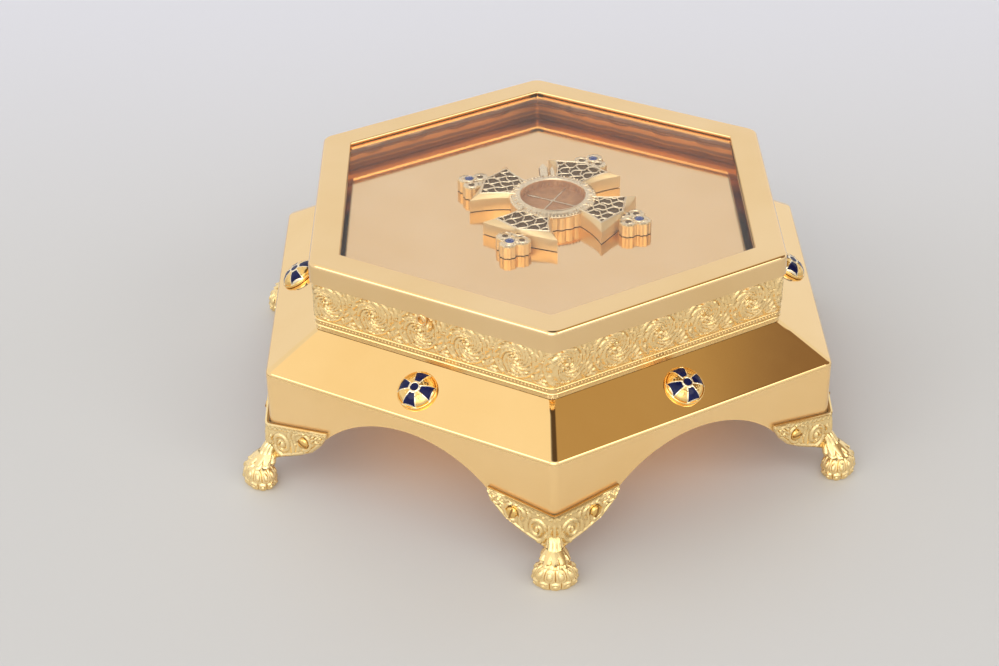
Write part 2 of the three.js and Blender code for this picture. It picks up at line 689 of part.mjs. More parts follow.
// Cross reliquary, drawn with its arms along X and Y and its base on z = 0.
// The outline of an arm from the drum outwards: curved sides, then two edges that meet at a point.
function armOutline(root, reach, tip) {
  const near = BEZEL_RADIUS * 0.6;
  const side = new THREE.QuadraticBezierCurve(
    new THREE.Vector2(near, root),
    new THREE.Vector2((near + reach) / 2, root + 1.5),
    new THREE.Vector2(reach, tip),
  ).getPoints(ARM_CURVE_STEPS);
  const mirrored = side.map((point) => new THREE.Vector2(point.x, -point.y));
  return [...mirrored, new THREE.Vector2(CROSS_ARM_REACH + CROSS_ARM_POINT, 0), ...side.reverse()];
}

function panelOutline(shrink) {
  return armOutline(PANEL_ROOT - shrink, CROSS_ARM_REACH - PANEL_SHORT - shrink, PANEL_TIP - 2 * shrink)
    .map((point) => (point.y === 0 ? new THREE.Vector2(point.x - 1.5 * shrink, 0) : point));
}

// A solid through outlines of equal count at rising heights, closed with a flat face at each end.
function loft(levels) {
  const count = levels[0][0].length;
  const positions = levels.flatMap(([outline, height]) => outline.flatMap((p) => [p.x, p.y, height]));
  const index = [];
  for (let level = 0; level + 1 < levels.length; level += 1) {
    for (let i = 0; i < count; i += 1) {
      const a = level * count + i;
      const b = level * count + ((i + 1) % count);
      index.push(a, b, b + count, a, b + count, a + count);
    }
  }
  const last = (levels.length - 1) * count;
  for (const [a, b, c] of THREE.ShapeUtils.triangulateShape(levels[0][0], [])) index.push(a, c, b);
  for (const [a, b, c] of THREE.ShapeUtils.triangulateShape(levels[levels.length - 1][0], [])) {
    index.push(last + a, last + b, last + c);
  }
  const geometry = new THREE.BufferGeometry();
  geometry.setAttribute('position', new THREE.Float32BufferAttribute(positions, 3));
  geometry.setIndex(index);
  return toSolid(geometry);
}

function prism(shape, bottom, height, curveSegments = 3) {
  const geometry = new THREE.ExtrudeGeometry(shape, { depth: height, bevelEnabled: false, curveSegments });
  geometry.translate(0, 0, bottom);
  return toSolid(geometry);
}

function disc(x, y, radius, bottom, height, segments) {
  const geometry = new THREE.CylinderGeometry(radius, radius, height, segments);
  geometry.rotateX(Math.PI / 2);
  geometry.translate(x, y, bottom + height / 2);
  return toSolid(geometry);
}

// The open knotwork of a panel: crossing bars, kept within the panel's border.
function lattice() {
  const bars = [];
  const middle = (BEZEL_RADIUS + CROSS_ARM_REACH) / 2;
  for (const turn of [Math.PI / 4, -Math.PI / 4]) {
    const bar = new THREE.BoxGeometry(2 * CROSS_ARM_REACH, 2 * CROSS_LATTICE_BAR, CROSS_LATTICE);
    bar.rotateZ(turn);
    bar.translate(middle, 0, CROSS_PANEL_HEIGHT - CROSS_LATTICE / 2);
    bars.push(toSolid(bar));
  }
  const field = new THREE.Shape(panelOutline(CROSS_LATTICE_BAR / 2));
  return joined(bars).intersect(prism(field, 0, 2 * CROSS_PANEL_HEIGHT));
}

function crossArm() {
  const body = armOutline(CROSS_ARM_ROOT, CROSS_ARM_REACH, CROSS_ARM_TIP);
  const raised = loft([[body, 0], [body, CROSS_WALL_HEIGHT], [panelOutline(0), CROSS_PANEL_HEIGHT]]);
  const field = new THREE.Shape(panelOutline(CROSS_LATTICE_BAR));
  const recess = prism(field, CROSS_PANEL_HEIGHT - CROSS_LATTICE, CROSS_LATTICE * 2);
  const panel = raised.subtract(recess).add(lattice());
  const finial = joined([
    disc(STONE_REACH + 1.6, 0, FINIAL_LOBE, 0, FINIAL_HEIGHT, 9),
    disc(STONE_REACH - 3.6, FINIAL_LOBE, FINIAL_LOBE, 0, FINIAL_HEIGHT, 9),
    disc(STONE_REACH - 3.6, -FINIAL_LOBE, FINIAL_LOBE, 0, FINIAL_HEIGHT, 9),
    disc(CROSS_ARM_REACH + 1, 0, FINIAL_LOBE, 0, FINIAL_HEIGHT, 8),
  ]);
  const seat = disc(
    STONE_REACH, 0, STONE_RADIUS + FIT_GAP, FINIAL_HEIGHT - STONE_SEAT, 2 * STONE_SEAT, 8,
  );
  return toGeometry(panel.add(finial).subtract(seat));
}

// The drum under the window, its ribbed wall, and the bezel that stands over it.
const WINDOW_SEAT = BEZEL_HEIGHT - WINDOW_SINK - WINDOW_THICKNESS - FIT_GAP;
const WINDOW_LEDGE = WINDOW_RADIUS - WINDOW_LEDGE_WIDTH;
const DRUM_TOP = BEZEL_HEIGHT - BEZEL_RIM;

function crossDrum() {
  const ribs = 14;
  const wall = new THREE.Shape();
  for (let i = 0; i < 2 * ribs; i += 1) {
    const angle = (i / (2 * ribs)) * 2 * Math.PI;
    const radius = BEZEL_RADIUS - 1 - (i % 2) * 0.8;
    if (i === 0) wall.moveTo(radius, 0);
    else wall.lineTo(radius * Math.cos(angle), radius * Math.sin(angle));
  }
  const low = WINDOW_SEAT - 1;
  const profile = [
    [WINDOW_LEDGE, low], [BEZEL_RADIUS - 2, low], [BEZEL_RADIUS, DRUM_TOP - 0.6],
    [BEZEL_RADIUS, DRUM_TOP + 0.2], [BEZEL_RADIUS - 2.4, BEZEL_HEIGHT - 0.3],
    [WINDOW_RADIUS + 1, BEZEL_HEIGHT], [WINDOW_LEDGE, BEZEL_HEIGHT - 0.5], [WINDOW_LEDGE, low],
  ];
  const bezel = new THREE.LatheGeometry(profile.map(([x, y]) => new THREE.Vector2(x, y)), 20);
  bezel.rotateX(Math.PI / 2);
  return prism(wall, 0, DRUM_TOP - 0.3).add(toSolid(bezel));
}

// The slim cross inside the window, on the bottom of the well.
function innerCross() {
  const reach = WINDOW_RADIUS - 1;
  const bar = (turn) => {
    const geometry = new THREE.BoxGeometry(2 * reach, 1, 1);
    geometry.rotateZ(turn);
    geometry.translate(0, 0, WINDOW_WELL + 0.3);
    return toSolid(geometry);
  };
  return bar(0).add(bar(Math.PI / 2)).add(disc(0, 0, 1.6, WINDOW_WELL - 0.2, 1.4, 10));
}

// The forked lug that a chain would hang from. It lies flat beside the drum.
function hangLug() {
  const tines = [-1, 1].map((sign) => {
    const half = HANG_LUG_WIDTH / 2;
    const middle = sign * (half + 0.3);
    const near = BEZEL_RADIUS - 3;
    const far = BEZEL_RADIUS + HANG_LUG_LENGTH + sign;
    const shape = new THREE.Shape();
    shape.moveTo(near, middle - half);
    shape.lineTo(far - 4, middle - half);
    shape.lineTo(far, middle);
    shape.lineTo(far - 4, middle + half);
    shape.lineTo(near, middle + half);
    return prism(shape, DRUM_TOP - 3, 2);
  });
  return toGeometry(joined(tines)).rotateZ(HANG_LUG_TURN);
}

function crossCase() {
  const arm = crossArm();
  let solid = crossDrum();
  for (let i = 0; i < 4; i += 1) solid = solid.add(toSolid(arm.clone().rotateZ((i * Math.PI) / 2)));
  solid = solid.add(toSolid(hangLug()));
  solid = solid.subtract(disc(0, 0, WINDOW_LEDGE, WINDOW_WELL, BEZEL_HEIGHT, 20));
  solid = solid.subtract(disc(0, 0, WINDOW_RADIUS + FIT_GAP, WINDOW_SEAT, BEZEL_HEIGHT, 20));
  return toGeometry(solid.add(innerCross()));
}

function crossStone() {
  const height = STONE_HEIGHT + STONE_SEAT - FIT_GAP;
  const profile = [
    [0, 0], [STONE_RADIUS, 0], [STONE_RADIUS, height * 0.5], [STONE_RADIUS * 0.65, height * 0.9], [0, height],
  ];
  return new THREE.LatheGeometry(profile.map(([x, y]) => new THREE.Vector2(x, y)), 8).rotateX(Math.PI / 2);
}

const cross = new THREE.Group();
cross.position.set(CROSS_X, CROSS_Y, FLOOR_TOP + FIT_GAP);
cross.rotation.z = THREE.MathUtils.degToRad(CROSS_TURN);
model.add(cross);
addMesh('cross_case', crossCase(), crossGilt, cross);
const WINDOW_BOTTOM = WINDOW_SEAT + FIT_GAP;
const windowGeometry = new THREE.CylinderGeometry(WINDOW_RADIUS, WINDOW_RADIUS, WINDOW_THICKNESS, 20);
windowGeometry.rotateX(Math.PI / 2);
addMesh('cross_window', windowGeometry, clearGlass, cross)
  .position.set(0, 0, WINDOW_BOTTOM + WINDOW_THICKNESS / 2);
const stoneGeometry = crossStone();
for (let i = 0; i < 4; i += 1) {
  const angle = (i * Math.PI) / 2;
  addMesh(`cross_stone_${i + 1}`, stoneGeometry, stone, cross).position.set(
    STONE_REACH * Math.cos(angle), STONE_REACH * Math.sin(angle), FINIAL_HEIGHT - STONE_SEAT + FIT_GAP,
  );
}

export default model;
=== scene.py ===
"""The look of the gilt six-sided icon case. Lengths here are millimetres until a mesh is made.
One corner of the case points to -Y, the table is z = 0."""

import math

import bmesh
import bpy
import numpy as np
from mathutils import Matrix, Vector


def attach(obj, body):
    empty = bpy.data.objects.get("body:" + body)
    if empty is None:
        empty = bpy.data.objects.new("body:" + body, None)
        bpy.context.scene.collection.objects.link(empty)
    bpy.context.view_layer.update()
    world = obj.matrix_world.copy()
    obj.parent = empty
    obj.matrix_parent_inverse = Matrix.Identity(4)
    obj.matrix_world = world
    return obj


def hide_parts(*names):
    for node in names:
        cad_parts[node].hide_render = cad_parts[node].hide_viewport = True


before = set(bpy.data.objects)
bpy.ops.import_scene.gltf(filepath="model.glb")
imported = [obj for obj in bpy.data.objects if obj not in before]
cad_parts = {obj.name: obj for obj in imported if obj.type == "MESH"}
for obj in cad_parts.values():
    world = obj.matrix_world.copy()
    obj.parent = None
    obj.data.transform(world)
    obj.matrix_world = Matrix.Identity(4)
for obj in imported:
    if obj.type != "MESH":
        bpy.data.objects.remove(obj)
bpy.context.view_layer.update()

MM = 0.001
SIDES = 6
STEP = 2 * math.pi / SIDES
COS30 = math.cos(STEP / 2)
TAN30 = math.tan(STEP / 2)
FIRST_CORNER = -math.pi / 2
FRONT_LEFT = 5
GAP = 0.3

# Body, as in the solids
BODY_RADIUS = 150
EAVE_HEIGHT = 58
SKIRT_BOTTOM = 22.5
SHEET = 1.6
BODY_FILLET = 5
ROOF_RISE = 15
ARCH_RADIUS = 59.94
ARCH_TOP = 50
SEAT_SHELF = 4
EAVE_ROUND = 2.0

# Neck
NECK_RADIUS = 123
NECK_WALL = 1.6
NECK_BOTTOM = 73.3
NECK_TOP = 105.9
BAND_FILLET = 4
LID_FILLET = 6
FOOT_STRIP = 2.2
RELIEF_BOTTOM = 79.5
RELIEF_PROUD = 0.95
SCROLLS_PER_SIDE = 5
SCROLL_COLUMNS = 48
RELIEF_ROWS = 46
BEADS_PER_SCROLL = 14
PATTERN_SHIFT = 0.22
LEDGE_TOP = 94.9
LEDGE_WIDTH = 3
LEDGE_HEIGHT = 3

# Lid
LID_RADIUS = 125.0
LID_TOP = 108.7
FASCIA_BOTTOM = 98.2
PLATE_UNDERSIDE = 106.2
LID_WALL = 1.3
FRAME_WIDTH = 14
LID_ROUND = 2.0
GROOVE_TOP = 107.7
GROOVE_BOTTOM = 105.9
GROOVE_WALL = 112.65

# Feet
WING_LENGTH = 33.5
WING_THICKNESS = 1.5
WING_TOP = 31
WING_TIP_RISE = 5
WING_FACE = BODY_RADIUS * COS30 + GAP
WING_OUTSIDE = WING_FACE + WING_THICKNESS
WING_FILLET = 4.5
PAW_WIDTH = 21.8
PAW_LENGTH = 16
PAW_HEIGHT = 12
PAW_REACH = 15
SCREW_FROM_CORNER = 20
SCREW_HEIGHT = 27
SCREW_HEAD = 5.4
SCREW_TOP = 1.6
SHANK_RADIUS = 1.25
SHANK_REACH = 6.4
SLOT_WIDTH = 0.9
SLOT_FLOOR = 0.75

# Medallions
MEDALLION_RADIUS = 9.4
MEDALLION_HEIGHT = 5
MEDALLION_FROM_EAVE = 0.49
DOME_RADIUS = MEDALLION_RADIUS - 0.8

# Cross
CROSS_PLACE = (4.4, 3.8, 97.0)
CROSS_TURN = math.radians(62)
CROSS_WALL = 6.2
PANEL_HEIGHT = 8.2
ARM_REACH = 34.8
ARM_POINT = 2.2
ARM_ROOT = 7
ARM_TIP = 19.5
PANEL_ROOT = 6
PANEL_SHORT = 2.5
PANEL_TIP = 14.5
STONE_REACH = 45.2
FINIAL_LOBE = 4.4
FINIAL_HEIGHT = 6
BEZEL_RADIUS = 20.8
BEZEL_HEIGHT = 8.8
DRUM_TOP = 7.2
WINDOW_RADIUS = 15.4
WINDOW_THICKNESS = 1.4
WINDOW_BOTTOM = 6.5
WINDOW_WELL = 4.6
STONE_RADIUS = 2.1
KNOT_PITCH = 6.2
DRUM_RIBS = 14
BEZEL_MARKS = 44
BEZEL_BEADS = 72


def side_angle(side):
    return FIRST_CORNER + (side + 0.5) * STEP


def corner_angle(corner):
    return FIRST_CORNER + corner * STEP


def inset(corner_radius, distance):
    return corner_radius - distance / COS30


class Form:
    """The surfaces of one piece, gathered in millimetres. A mark is the index of a material."""

    def __init__(self):
        self.points, self.faces, self.marks, self.count = [], [], [], 0

    def add(self, points, faces, mark=0):
        points = np.asarray(points, float).reshape(-1, 3)
        faces = [tuple(int(i) + self.count for i in face) for face in faces]
        self.points.append(points)
        self.faces.extend(faces)
        self.marks.extend([mark] * len(faces))
        self.count += len(points)

    def grid(self, rows, wrap_rows=False, wrap_columns=False, mark=0):
        rows = np.asarray(rows, float)
        height, width = rows.shape[:2]
        index = np.arange(height * width).reshape(height, width)
        below = index if wrap_rows else index[:-1]
        above = np.roll(index, -1, axis=0) if wrap_rows else index[1:]
        if wrap_columns:
            quads = np.stack([below, np.roll(below, -1, axis=1), np.roll(above, -1, axis=1), above], -1)
        else:
            quads = np.stack([below[:, :-1], below[:, 1:], above[:, 1:], above[:, :-1]], -1)
        self.add(rows, quads.reshape(-1, 4).tolist(), mark)

    def band(self, rows, mark=0):
        """Rows that each close on themselves."""
        self.grid(rows, wrap_columns=True, mark=mark)

    def fan(self, ring, tip, mark=0):
        ring = np.asarray(ring, float)
        count = len(ring)
        faces = [(i, (i + 1) % count, count) for i in range(count)]
        self.add(np.vstack([ring, [tip]]), faces, mark)

    def lathe(self, profile, segments, place=Matrix.Identity(4), mark=0):
        """A profile of [radius, height] turned round the Z of its place."""
        turns = once_round(segments)
        rows = [put(with_height(circle(radius, turns), height), place) for radius, height in profile]
        self.band(rows, mark)

    def strand(self, path, widths, rise, mark=0, sides=6):
        """A rounded bead of relief along a path, half sunk; widths are half-widths."""
        path = np.asarray(path, float)
        widths = np.broadcast_to(widths, len(path))
        ahead = np.gradient(path, axis=0)
        ahead /= np.linalg.norm(ahead, axis=1)[:, None] + 1e-9
        across = np.cross(ahead, (0, 0, 1))
        across /= np.linalg.norm(across, axis=1)[:, None] + 1e-9
        rows = []
        for i in range(sides):
            turn = i / sides * 2 * math.pi
            side = across * (widths * math.cos(turn))[:, None]
            up = np.array([0, 0, 1]) * rise * math.sin(turn) * (widths / widths.max())[:, None]
            rows.append(path + side + up)
        self.grid(rows, wrap_rows=True, mark=mark)

    def moved(self, matrix):
        self.points = [put(points, matrix) for points in self.points]

    def join(self, other):
        """Takes in the surfaces of another form."""
        self.points.extend(other.points)
        self.faces.extend(tuple(i + self.count for i in face) for face in other.faces)
        self.marks.extend(other.marks)
        self.count += other.count

    def piece(self, name, materials, slot, nodes, sharp=38):
        mesh = bpy.data.meshes.new(name)
        mesh.from_pydata((np.vstack(self.points) * MM).tolist(), [], self.faces)
        for material in materials:
            mesh.materials.append(material)
        mesh.polygons.foreach_set("material_index", self.marks)
        work = bmesh.new()
        work.from_mesh(mesh)
        bmesh.ops.remove_doubles(work, verts=work.verts, dist=2e-6)
        bmesh.ops.recalc_face_normals(work, faces=work.faces)
        work.to_mesh(mesh)
        work.free()
        mesh.shade_smooth()
        mesh.set_sharp_from_angle(angle=math.radians(sharp))
        obj = bpy.data.objects.new(name, mesh)
        bpy.context.scene.collection.objects.link(obj)
        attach(obj, "root")
        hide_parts(*nodes)
        return obj


def put(points, matrix):
    m = np.array(matrix)
    return np.asarray(points, float).reshape(-1, 3) @ m[:3, :3].T + m[:3, 3]


def outline(corner_radius, fillet, flats, arcs):
    """One turn round a six-sided outline: points, outward normals and the distance of each from
    the middle of its side. flats runs from -1 to 1 along a side, arcs from 0 to 1 round a corner."""
    half = corner_radius / 2 - fillet * TAN30
    points, normals, along_side = [], [], []
    for side in range(SIDES):
        angle = side_angle(side)
        out = np.array([math.cos(angle), math.sin(angle)])
        along = np.array([-math.sin(angle), math.cos(angle)])
        for t in flats:
            points.append(out * corner_radius * COS30 + along * t * half)
            normals.append(out)
            along_side.append(t * half)
        corner = corner_angle(side + 1)
        centre = inset(corner_radius, 0) - fillet / COS30
        middle = centre * np.array([math.cos(corner), math.sin(corner)])
        for a in arcs:
            turn = angle + a * STEP
            normal = np.array([math.cos(turn), math.sin(turn)])
            points.append(middle + fillet * normal)
            normals.append(normal)
            along_side.append(half + a * fillet * STEP)
    return np.array(points), np.array(normals), np.array(along_side)


def with_height(points, height):
    return np.column_stack([points, np.broadcast_to(height, len(points))])


def once_round(count):
    """The angles of one turn."""
    return np.arange(count) / count * 2 * math.pi


def circle(radius, turns, x=0.0, y=0.0):
    return np.column_stack([x + radius * np.cos(turns), y + radius * np.sin(turns)])


def on_side(side, out, along, height):
    """A place at one side of the case; its X points outwards."""
    return Matrix.Rotation(side_angle(side), 4, "Z") @ Matrix.Translation((out, along, height))


def side_samples(count, support=0.006):
    """Fractions along a side, with a close pair at each end that keeps the flat shading flat."""
    inner = np.linspace(-1 + support, 1 - support, count)
    return np.concatenate([[-1], inner, [1]])


CORNER_ARCS = np.linspace(0, 1, 9)[1:-1]


# Relief: strokes are laid on a tile one after the other, each cutting a thin groove round itself.
def spiral(x, y, start_radius, end_radius, start, end, count=14):
    t = np.linspace(0, 1, count)
    angle = np.radians(start + (end - start) * t)
    radius = start_radius + (end_radius - start_radius) * t
    return np.column_stack([x + radius * np.cos(angle), y + radius * np.sin(angle)])


def petal(x, y, direction, length, bend=0.0, count=8):
    t = np.linspace(0, 1, count)
    angle = math.radians(direction) + bend * t
    return np.column_stack([x + length * t * np.cos(angle), y + length * t * np.sin(angle)])


def leaf_widths(count, widest, root=0.35, tip=0.12):
    t = np.linspace(0, 1, count)
    return widest * (root * (1 - t) + tip * t + (1 - root) * np.sin(math.pi * t ** 0.8))


class Relief:
    """A height map in millimetres over a rectangle, read back by interpolation."""

    def __init__(self, left, right, low, high, step, period=None):
        self.left, self.low, self.step, self.period = left, low, step, period
        self.x = np.arange(left, right + step, step)
        self.y = np.arange(low, high + step, step)
        self.gx, self.gy = np.meshgrid(self.x, self.y)
        self.height = np.zeros_like(self.gx)

    def stroke(self, path, widths, rise=1.0, groove=0.35, vein=0.25):
        shifts = (0,) if self.period is None else (-self.period, 0, self.period)
        for shift in shifts:
            self._stroke(path + np.array([shift, 0]), widths, rise, groove, vein)

    def _stroke(self, path, widths, rise, groove, vein):
        reach = widths.max() + groove
        near = (
            (self.gx > path[:, 0].min() - reach) & (self.gx < path[:, 0].max() + reach)
            & (self.gy > path[:, 1].min() - reach) & (self.gy < path[:, 1].max() + reach)
        )
        if not near.any():
            return
        x, y = self.gx[near], self.gy[near]
        level = np.full(x.shape, 9.0)
        width_there = np.ones(x.shape)
        for i in range(len(path) - 1):
            ax, ay = path[i]
            dx, dy = path[i + 1] - path[i]
            t = np.clip(((x - ax) * dx + (y - ay) * dy) / (dx * dx + dy * dy + 1e-9), 0, 1)
            distance = np.hypot(x - ax - t * dx, y - ay - t * dy)
            width = widths[i] + (widths[i + 1] - widths[i]) * t
            closer = distance / width < level
            level = np.where(closer, distance / width, level)
            width_there = np.where(closer, width, width_there)
        inside = level < 1
        crown = np.sqrt(np.clip(1 - level ** 2, 0, 1)) * rise
        crown *= 1 - vein * np.exp(-((level / 0.25) ** 2))
        away = np.clip((level - 1) * width_there / groove, 0, 1)
        here = self.height[near]
        self.height[near] = np.where(inside, crown + 0.15 * here, here * away)

    def read(self, x, y):
        if self.period is not None:
            x = (x - self.left) % self.period + self.left
        column = np.clip((x - self.left) / self.step, 0, len(self.x) - 1.001)
        row = np.clip((y - self.low) / self.step, 0, len(self.y) - 1.001)
        c, r = column.astype(int), row.astype(int)
        fc, fr = column - c, row - r
        h = self.height
        return (
            h[r, c] * (1 - fc) * (1 - fr) + h[r, c + 1] * fc * (1 - fr)
            + h[r + 1, c] * (1 - fc) * fr + h[r + 1, c + 1] * fc * fr
        )


# Materials
class Shader:
    """The nodes of one material or of the room, and the wires between them."""

    def __init__(self, owner):
        owner.use_nodes = True
        self.owner = owner
        self.nodes = owner.node_tree.nodes
        self.links = owner.node_tree.links

    def feed(self, socket, value):
        """A socket takes the output of another node, a colour or a plain value."""
        if isinstance(value, bpy.types.NodeSocket):
            self.links.new(value, socket)
        elif socket.type == "RGBA":
            socket.default_value = (*value, 1)
        else:
            socket.default_value = value

    def fill(self, node, inputs):
        for name, value in inputs.items():
            self.feed(node.inputs[name], value)
        return node

    def place(self):
        return self.nodes.new("ShaderNodeTexCoord").outputs["Object"]

    def axes(self, place):
        split = self.nodes.new("ShaderNodeSeparateXYZ")
        self.links.new(place, split.inputs[0])
        return split.outputs

    def noise(self, place, scale, detail=3.0, roughness=0.5):
        inputs = {"Vector": place, "Scale": scale, "Detail": detail, "Roughness": roughness}
        return self.fill(self.nodes.new("ShaderNodeTexNoise"), inputs).outputs["Fac"]

    def ramp(self, value, start, end, low=0.0, high=1.0):
        inputs = {"Value": value, "From Min": start, "From Max": end, "To Min": low, "To Max": high}
        return self.fill(self.nodes.new("ShaderNodeMapRange"), inputs).outputs["Result"]

    def soft_ramp(self, value, start, end):
        node = self.nodes.new("ShaderNodeMapRange")
        node.interpolation_type = "SMOOTHSTEP"
        return self.fill(node, {"Value": value, "From Min": start, "From Max": end}).outputs["Result"]

    def spread(self, value, low=0.0, high=1.0):
        """Stretches the middle of a noise over a range."""
        return self.ramp(value, 0.3, 0.7, low, high)

    def maths(self, kind, *values):
        node = self.nodes.new("ShaderNodeMath")
        node.operation = kind
        for socket, value in zip(node.inputs, values):
            self.feed(socket, value)
        return node.outputs[0]

    def mixed(self, factor, first, second):
        node = self.nodes.new("ShaderNodeMix")
        node.data_type = "RGBA"
        self.fill(node, {"Factor": factor})
        for name, colour in (("A", first), ("B", second)):
            self.feed(next(s for s in node.inputs if s.name == name and s.type == "RGBA"), colour)
        return next(s for s in node.outputs if s.type == "RGBA")

    def surface(self, inputs):
        """Fills the material's surface and gives the material back."""
        self.fill(self.nodes["Principled BSDF"], inputs)
        return self.owner


def new_shader(name):
    return Shader(bpy.data.materials.new(name))


GILT_SHADE = (0.96, 0.93, 0.86)


def gilt(name, colour, low, high, wave=0.0, grain=0.0, grain_scale=900.0, crease_shade=None, metal=1.0):
    """Gilt metal. wave is a hand-made unevenness and grain a fine texture, both in millimetres.
    The colour given for creases is painted shade, mixed in where the pointiness marks a crease."""
    shader = new_shader(name)
    place = shader.place()
    deeper = tuple(c * k for c, k in zip(colour, GILT_SHADE))
    base = shader.mixed(shader.spread(shader.noise(place, 22.0, 4.0)), colour, deeper)
    if crease_shade is not None:
        # painted shade: creases take the darker crease colour by their pointiness
        crease = shader.nodes.new("ShaderNodeNewGeometry").outputs["Pointiness"]
        base = shader.mixed(shader.ramp(crease, 0.40, 0.50), crease_shade, base)
    smear = shader.noise(place, 60.0, 6.0, 0.65)
    inputs = {"Base Color": base, "Metallic": metal, "Roughness": shader.spread(smear, low, high)}
    for amount, scale, detail in ((wave, 14.0, 1.0), (grain, grain_scale, 3.0)):
        if not amount:
            continue
        height = shader.noise(place, scale, detail)
        bump = shader.nodes.new("ShaderNodeBump")
        shader.fill(bump, {"Strength": 1.0, "Distance": amount * MM, "Height": height})
        if "Normal" in inputs:
            shader.fill(bump, {"Normal": inputs["Normal"]})
        inputs["Normal"] = bump.outputs["Normal"]
    return shader.surface(inputs)


def glaze(name, colour, deeper, roughness=0.08, scale=260.0, coat=0.6, specular=0.5):
    shader = new_shader(name)
    tone = shader.spread(shader.noise(shader.place(), scale))
    return shader.surface({
        "Base Color": shader.mixed(tone, colour, deeper), "Roughness": roughness,
        "Specular IOR Level": specular, "Coat Weight": coat, "Coat Roughness": 0.04,
    })


def clear_glass(name, tint, gloss):
    """Clear glass: a thin pane that lets light straight through and mirrors a little."""
    shader = new_shader(name)
    smear = shader.noise(shader.place(), 30.0, 5.0)
    return shader.surface({
        "Base Color": tint, "Roughness": shader.spread(smear, 0.01, 0.03), "IOR": 1.5, "Alpha": gloss,
    })


# Gilt colours; each darker crease colour among them is painted shade for the creases of its gilt
GOLD = (0.97, 0.69, 0.36)
BODY_GOLD = (0.985, 0.69, 0.325)
SKIRT_GOLD = (0.99, 0.69, 0.33)
INNER_GOLD = (0.98, 0.66, 0.36)
EMBOSSED_GOLD = (0.99, 0.74, 0.37)
EMBOSSED_CREASE_SHADE = (0.56, 0.37, 0.15)
CAST_GOLD = (1.0, 0.77, 0.39)
CAST_CREASE_SHADE = (0.50, 0.28, 0.08)
SCREW_GOLD = (0.95, 0.63, 0.22)
SCREW_CREASE_SHADE = (0.3, 0.13, 0.03)
# dark colour of screw slots and of the wings' top edge behind the lip: painted shade
SLOT_SHADE_GOLD = (0.40, 0.21, 0.06)
FLOOR_GOLD = (0.92, 0.63, 0.34)
PALE_GOLD = (0.86, 0.70, 0.48)
PALE_CREASE_SHADE = (0.36, 0.23, 0.11)
CROSS_GOLD = (0.86, 0.64, 0.34)

polished = gilt("polished_gilt", GOLD, 0.05, 0.10, wave=0.06, grain=0.0010)
body_gilt = gilt("polished_body_gilt", BODY_GOLD, 0.05, 0.10, wave=0.06, grain=0.0010)
skirt_gilt = gilt("polished_skirt_gilt", SKIRT_GOLD, 0.16, 0.24, wave=0.04, grain=0.0010, metal=0.68)
inner_gilt = gilt("inner_gilt", INNER_GOLD, 0.4, 0.55, grain=0.004, metal=0.15)
embossed = gilt("embossed_gilt", EMBOSSED_GOLD, 0.18, 0.3, grain=0.004, crease_shade=EMBOSSED_CREASE_SHADE, metal=0.78)
cast = gilt("cast_gilt", CAST_GOLD, 0.12, 0.24, grain=0.008, crease_shade=CAST_CREASE_SHADE, metal=0.82)
screw_gilt = gilt("screw_gilt", SCREW_GOLD, 0.08, 0.2, grain=0.004, crease_shade=SCREW_CREASE_SHADE)
# painted shade in screw slots and on the wings' top edge behind the lip
slot_shade = gilt("slot_shade_gilt", SLOT_SHADE_GOLD, 0.3, 0.45, grain=0.004, metal=0.7)
mirror = gilt("mirror_gilt", FLOOR_GOLD, 0.06, 0.12, wave=0.01, grain=0.012, grain_scale=700.0)
cross_pale = gilt("cross_pale_gilt", PALE_GOLD, 0.2, 0.34, grain=0.006, crease_shade=PALE_CREASE_SHADE, metal=0.9)
cross_wall = gilt("cross_wall_gilt", CROSS_GOLD, 0.28, 0.42, grain=0.004, metal=0.6)
cross_ground = glaze("cross_dark_ground", (0.18, 0.105, 0.045), (0.10, 0.055, 0.022), 0.6, 900.0, 0, 0.15)
relic_ground = glaze("relic_ground", (0.64, 0.32, 0.14), (0.46, 0.21, 0.09), 0.6, 300.0, 0, 0.2)
blue_stone = glaze("blue_stone", (0.03, 0.06, 0.28), (0.015, 0.03, 0.14))
pane = clear_glass("clear_glass", (0.8, 0.8, 0.8), 0.05)
relic_pane = clear_glass("relic_glass", (0.5, 0.4, 0.3), 0.04)

# Painted reflection and shade on the inner neck wall, in stripes over its lowest tone: bright stripes are
# painted reflections, dull and dark ones painted shade. The heights a stripe fades in over, and its colour
BAND_LOW = (0.38, 0.23, 0.17)
BAND_REFLECTION_AND_SHADE_STRIPES = (
    (99.6, 100.2, (0.92, 0.60, 0.33)),
    (102.0, 102.8, (0.52, 0.37, 0.33)),
    (103.9, 104.3, (0.95, 0.68, 0.42)),
    (104.5, 104.9, (0.36, 0.22, 0.14)),
)
BAND_WAVE = 2.6


def band_material():
    """The inside of the neck: dull gilt with stripes of painted reflection and painted shade that change
    with the height, uneven along the wall.
    """
    shader = new_shader("inner_band_gilt")
    place = shader.place()
    patches = shader.noise(place, 55.0, 2.0)
    wavy = shader.maths("MULTIPLY_ADD", patches, BAND_WAVE * MM, shader.axes(place)["Z"])
    colour = BAND_LOW
    for start, end, stripe in BAND_REFLECTION_AND_SHADE_STRIPES:
        # painted reflection and shade: each stripe fades in over its heights
        colour = shader.mixed(shader.soft_ramp(wavy, start * MM, end * MM), colour, stripe)
    roughness = shader.spread(patches, 0.3, 0.42)
    return shader.surface({"Base Color": colour, "Roughness": roughness, "Metallic": 0.35})


inner_band = band_material()

# Enamel of the medallions, in millimetres from the middle
HUB_RADIUS = 1.9
HUB_RING = 2.5
BLADE_NEAR = 2.9
BLADE_FAR = 8.0
BLADE_ROOT = 0.25
BLADE_FLARE = 0.36
LINE_WIDTH = 0.5
ENAMEL_BLUES = ((0.004, 0.005, 0.045), (0.007, 0.012, 0.085))
DOME_GOLDS = ((0.97, 0.68, 0.27), (0.90, 0.56, 0.17))
# painted highlight: the raised outlines are coloured paler than the dome's gold
LINE_HIGHLIGHT_GOLD = (1.0, 0.86, 0.60)


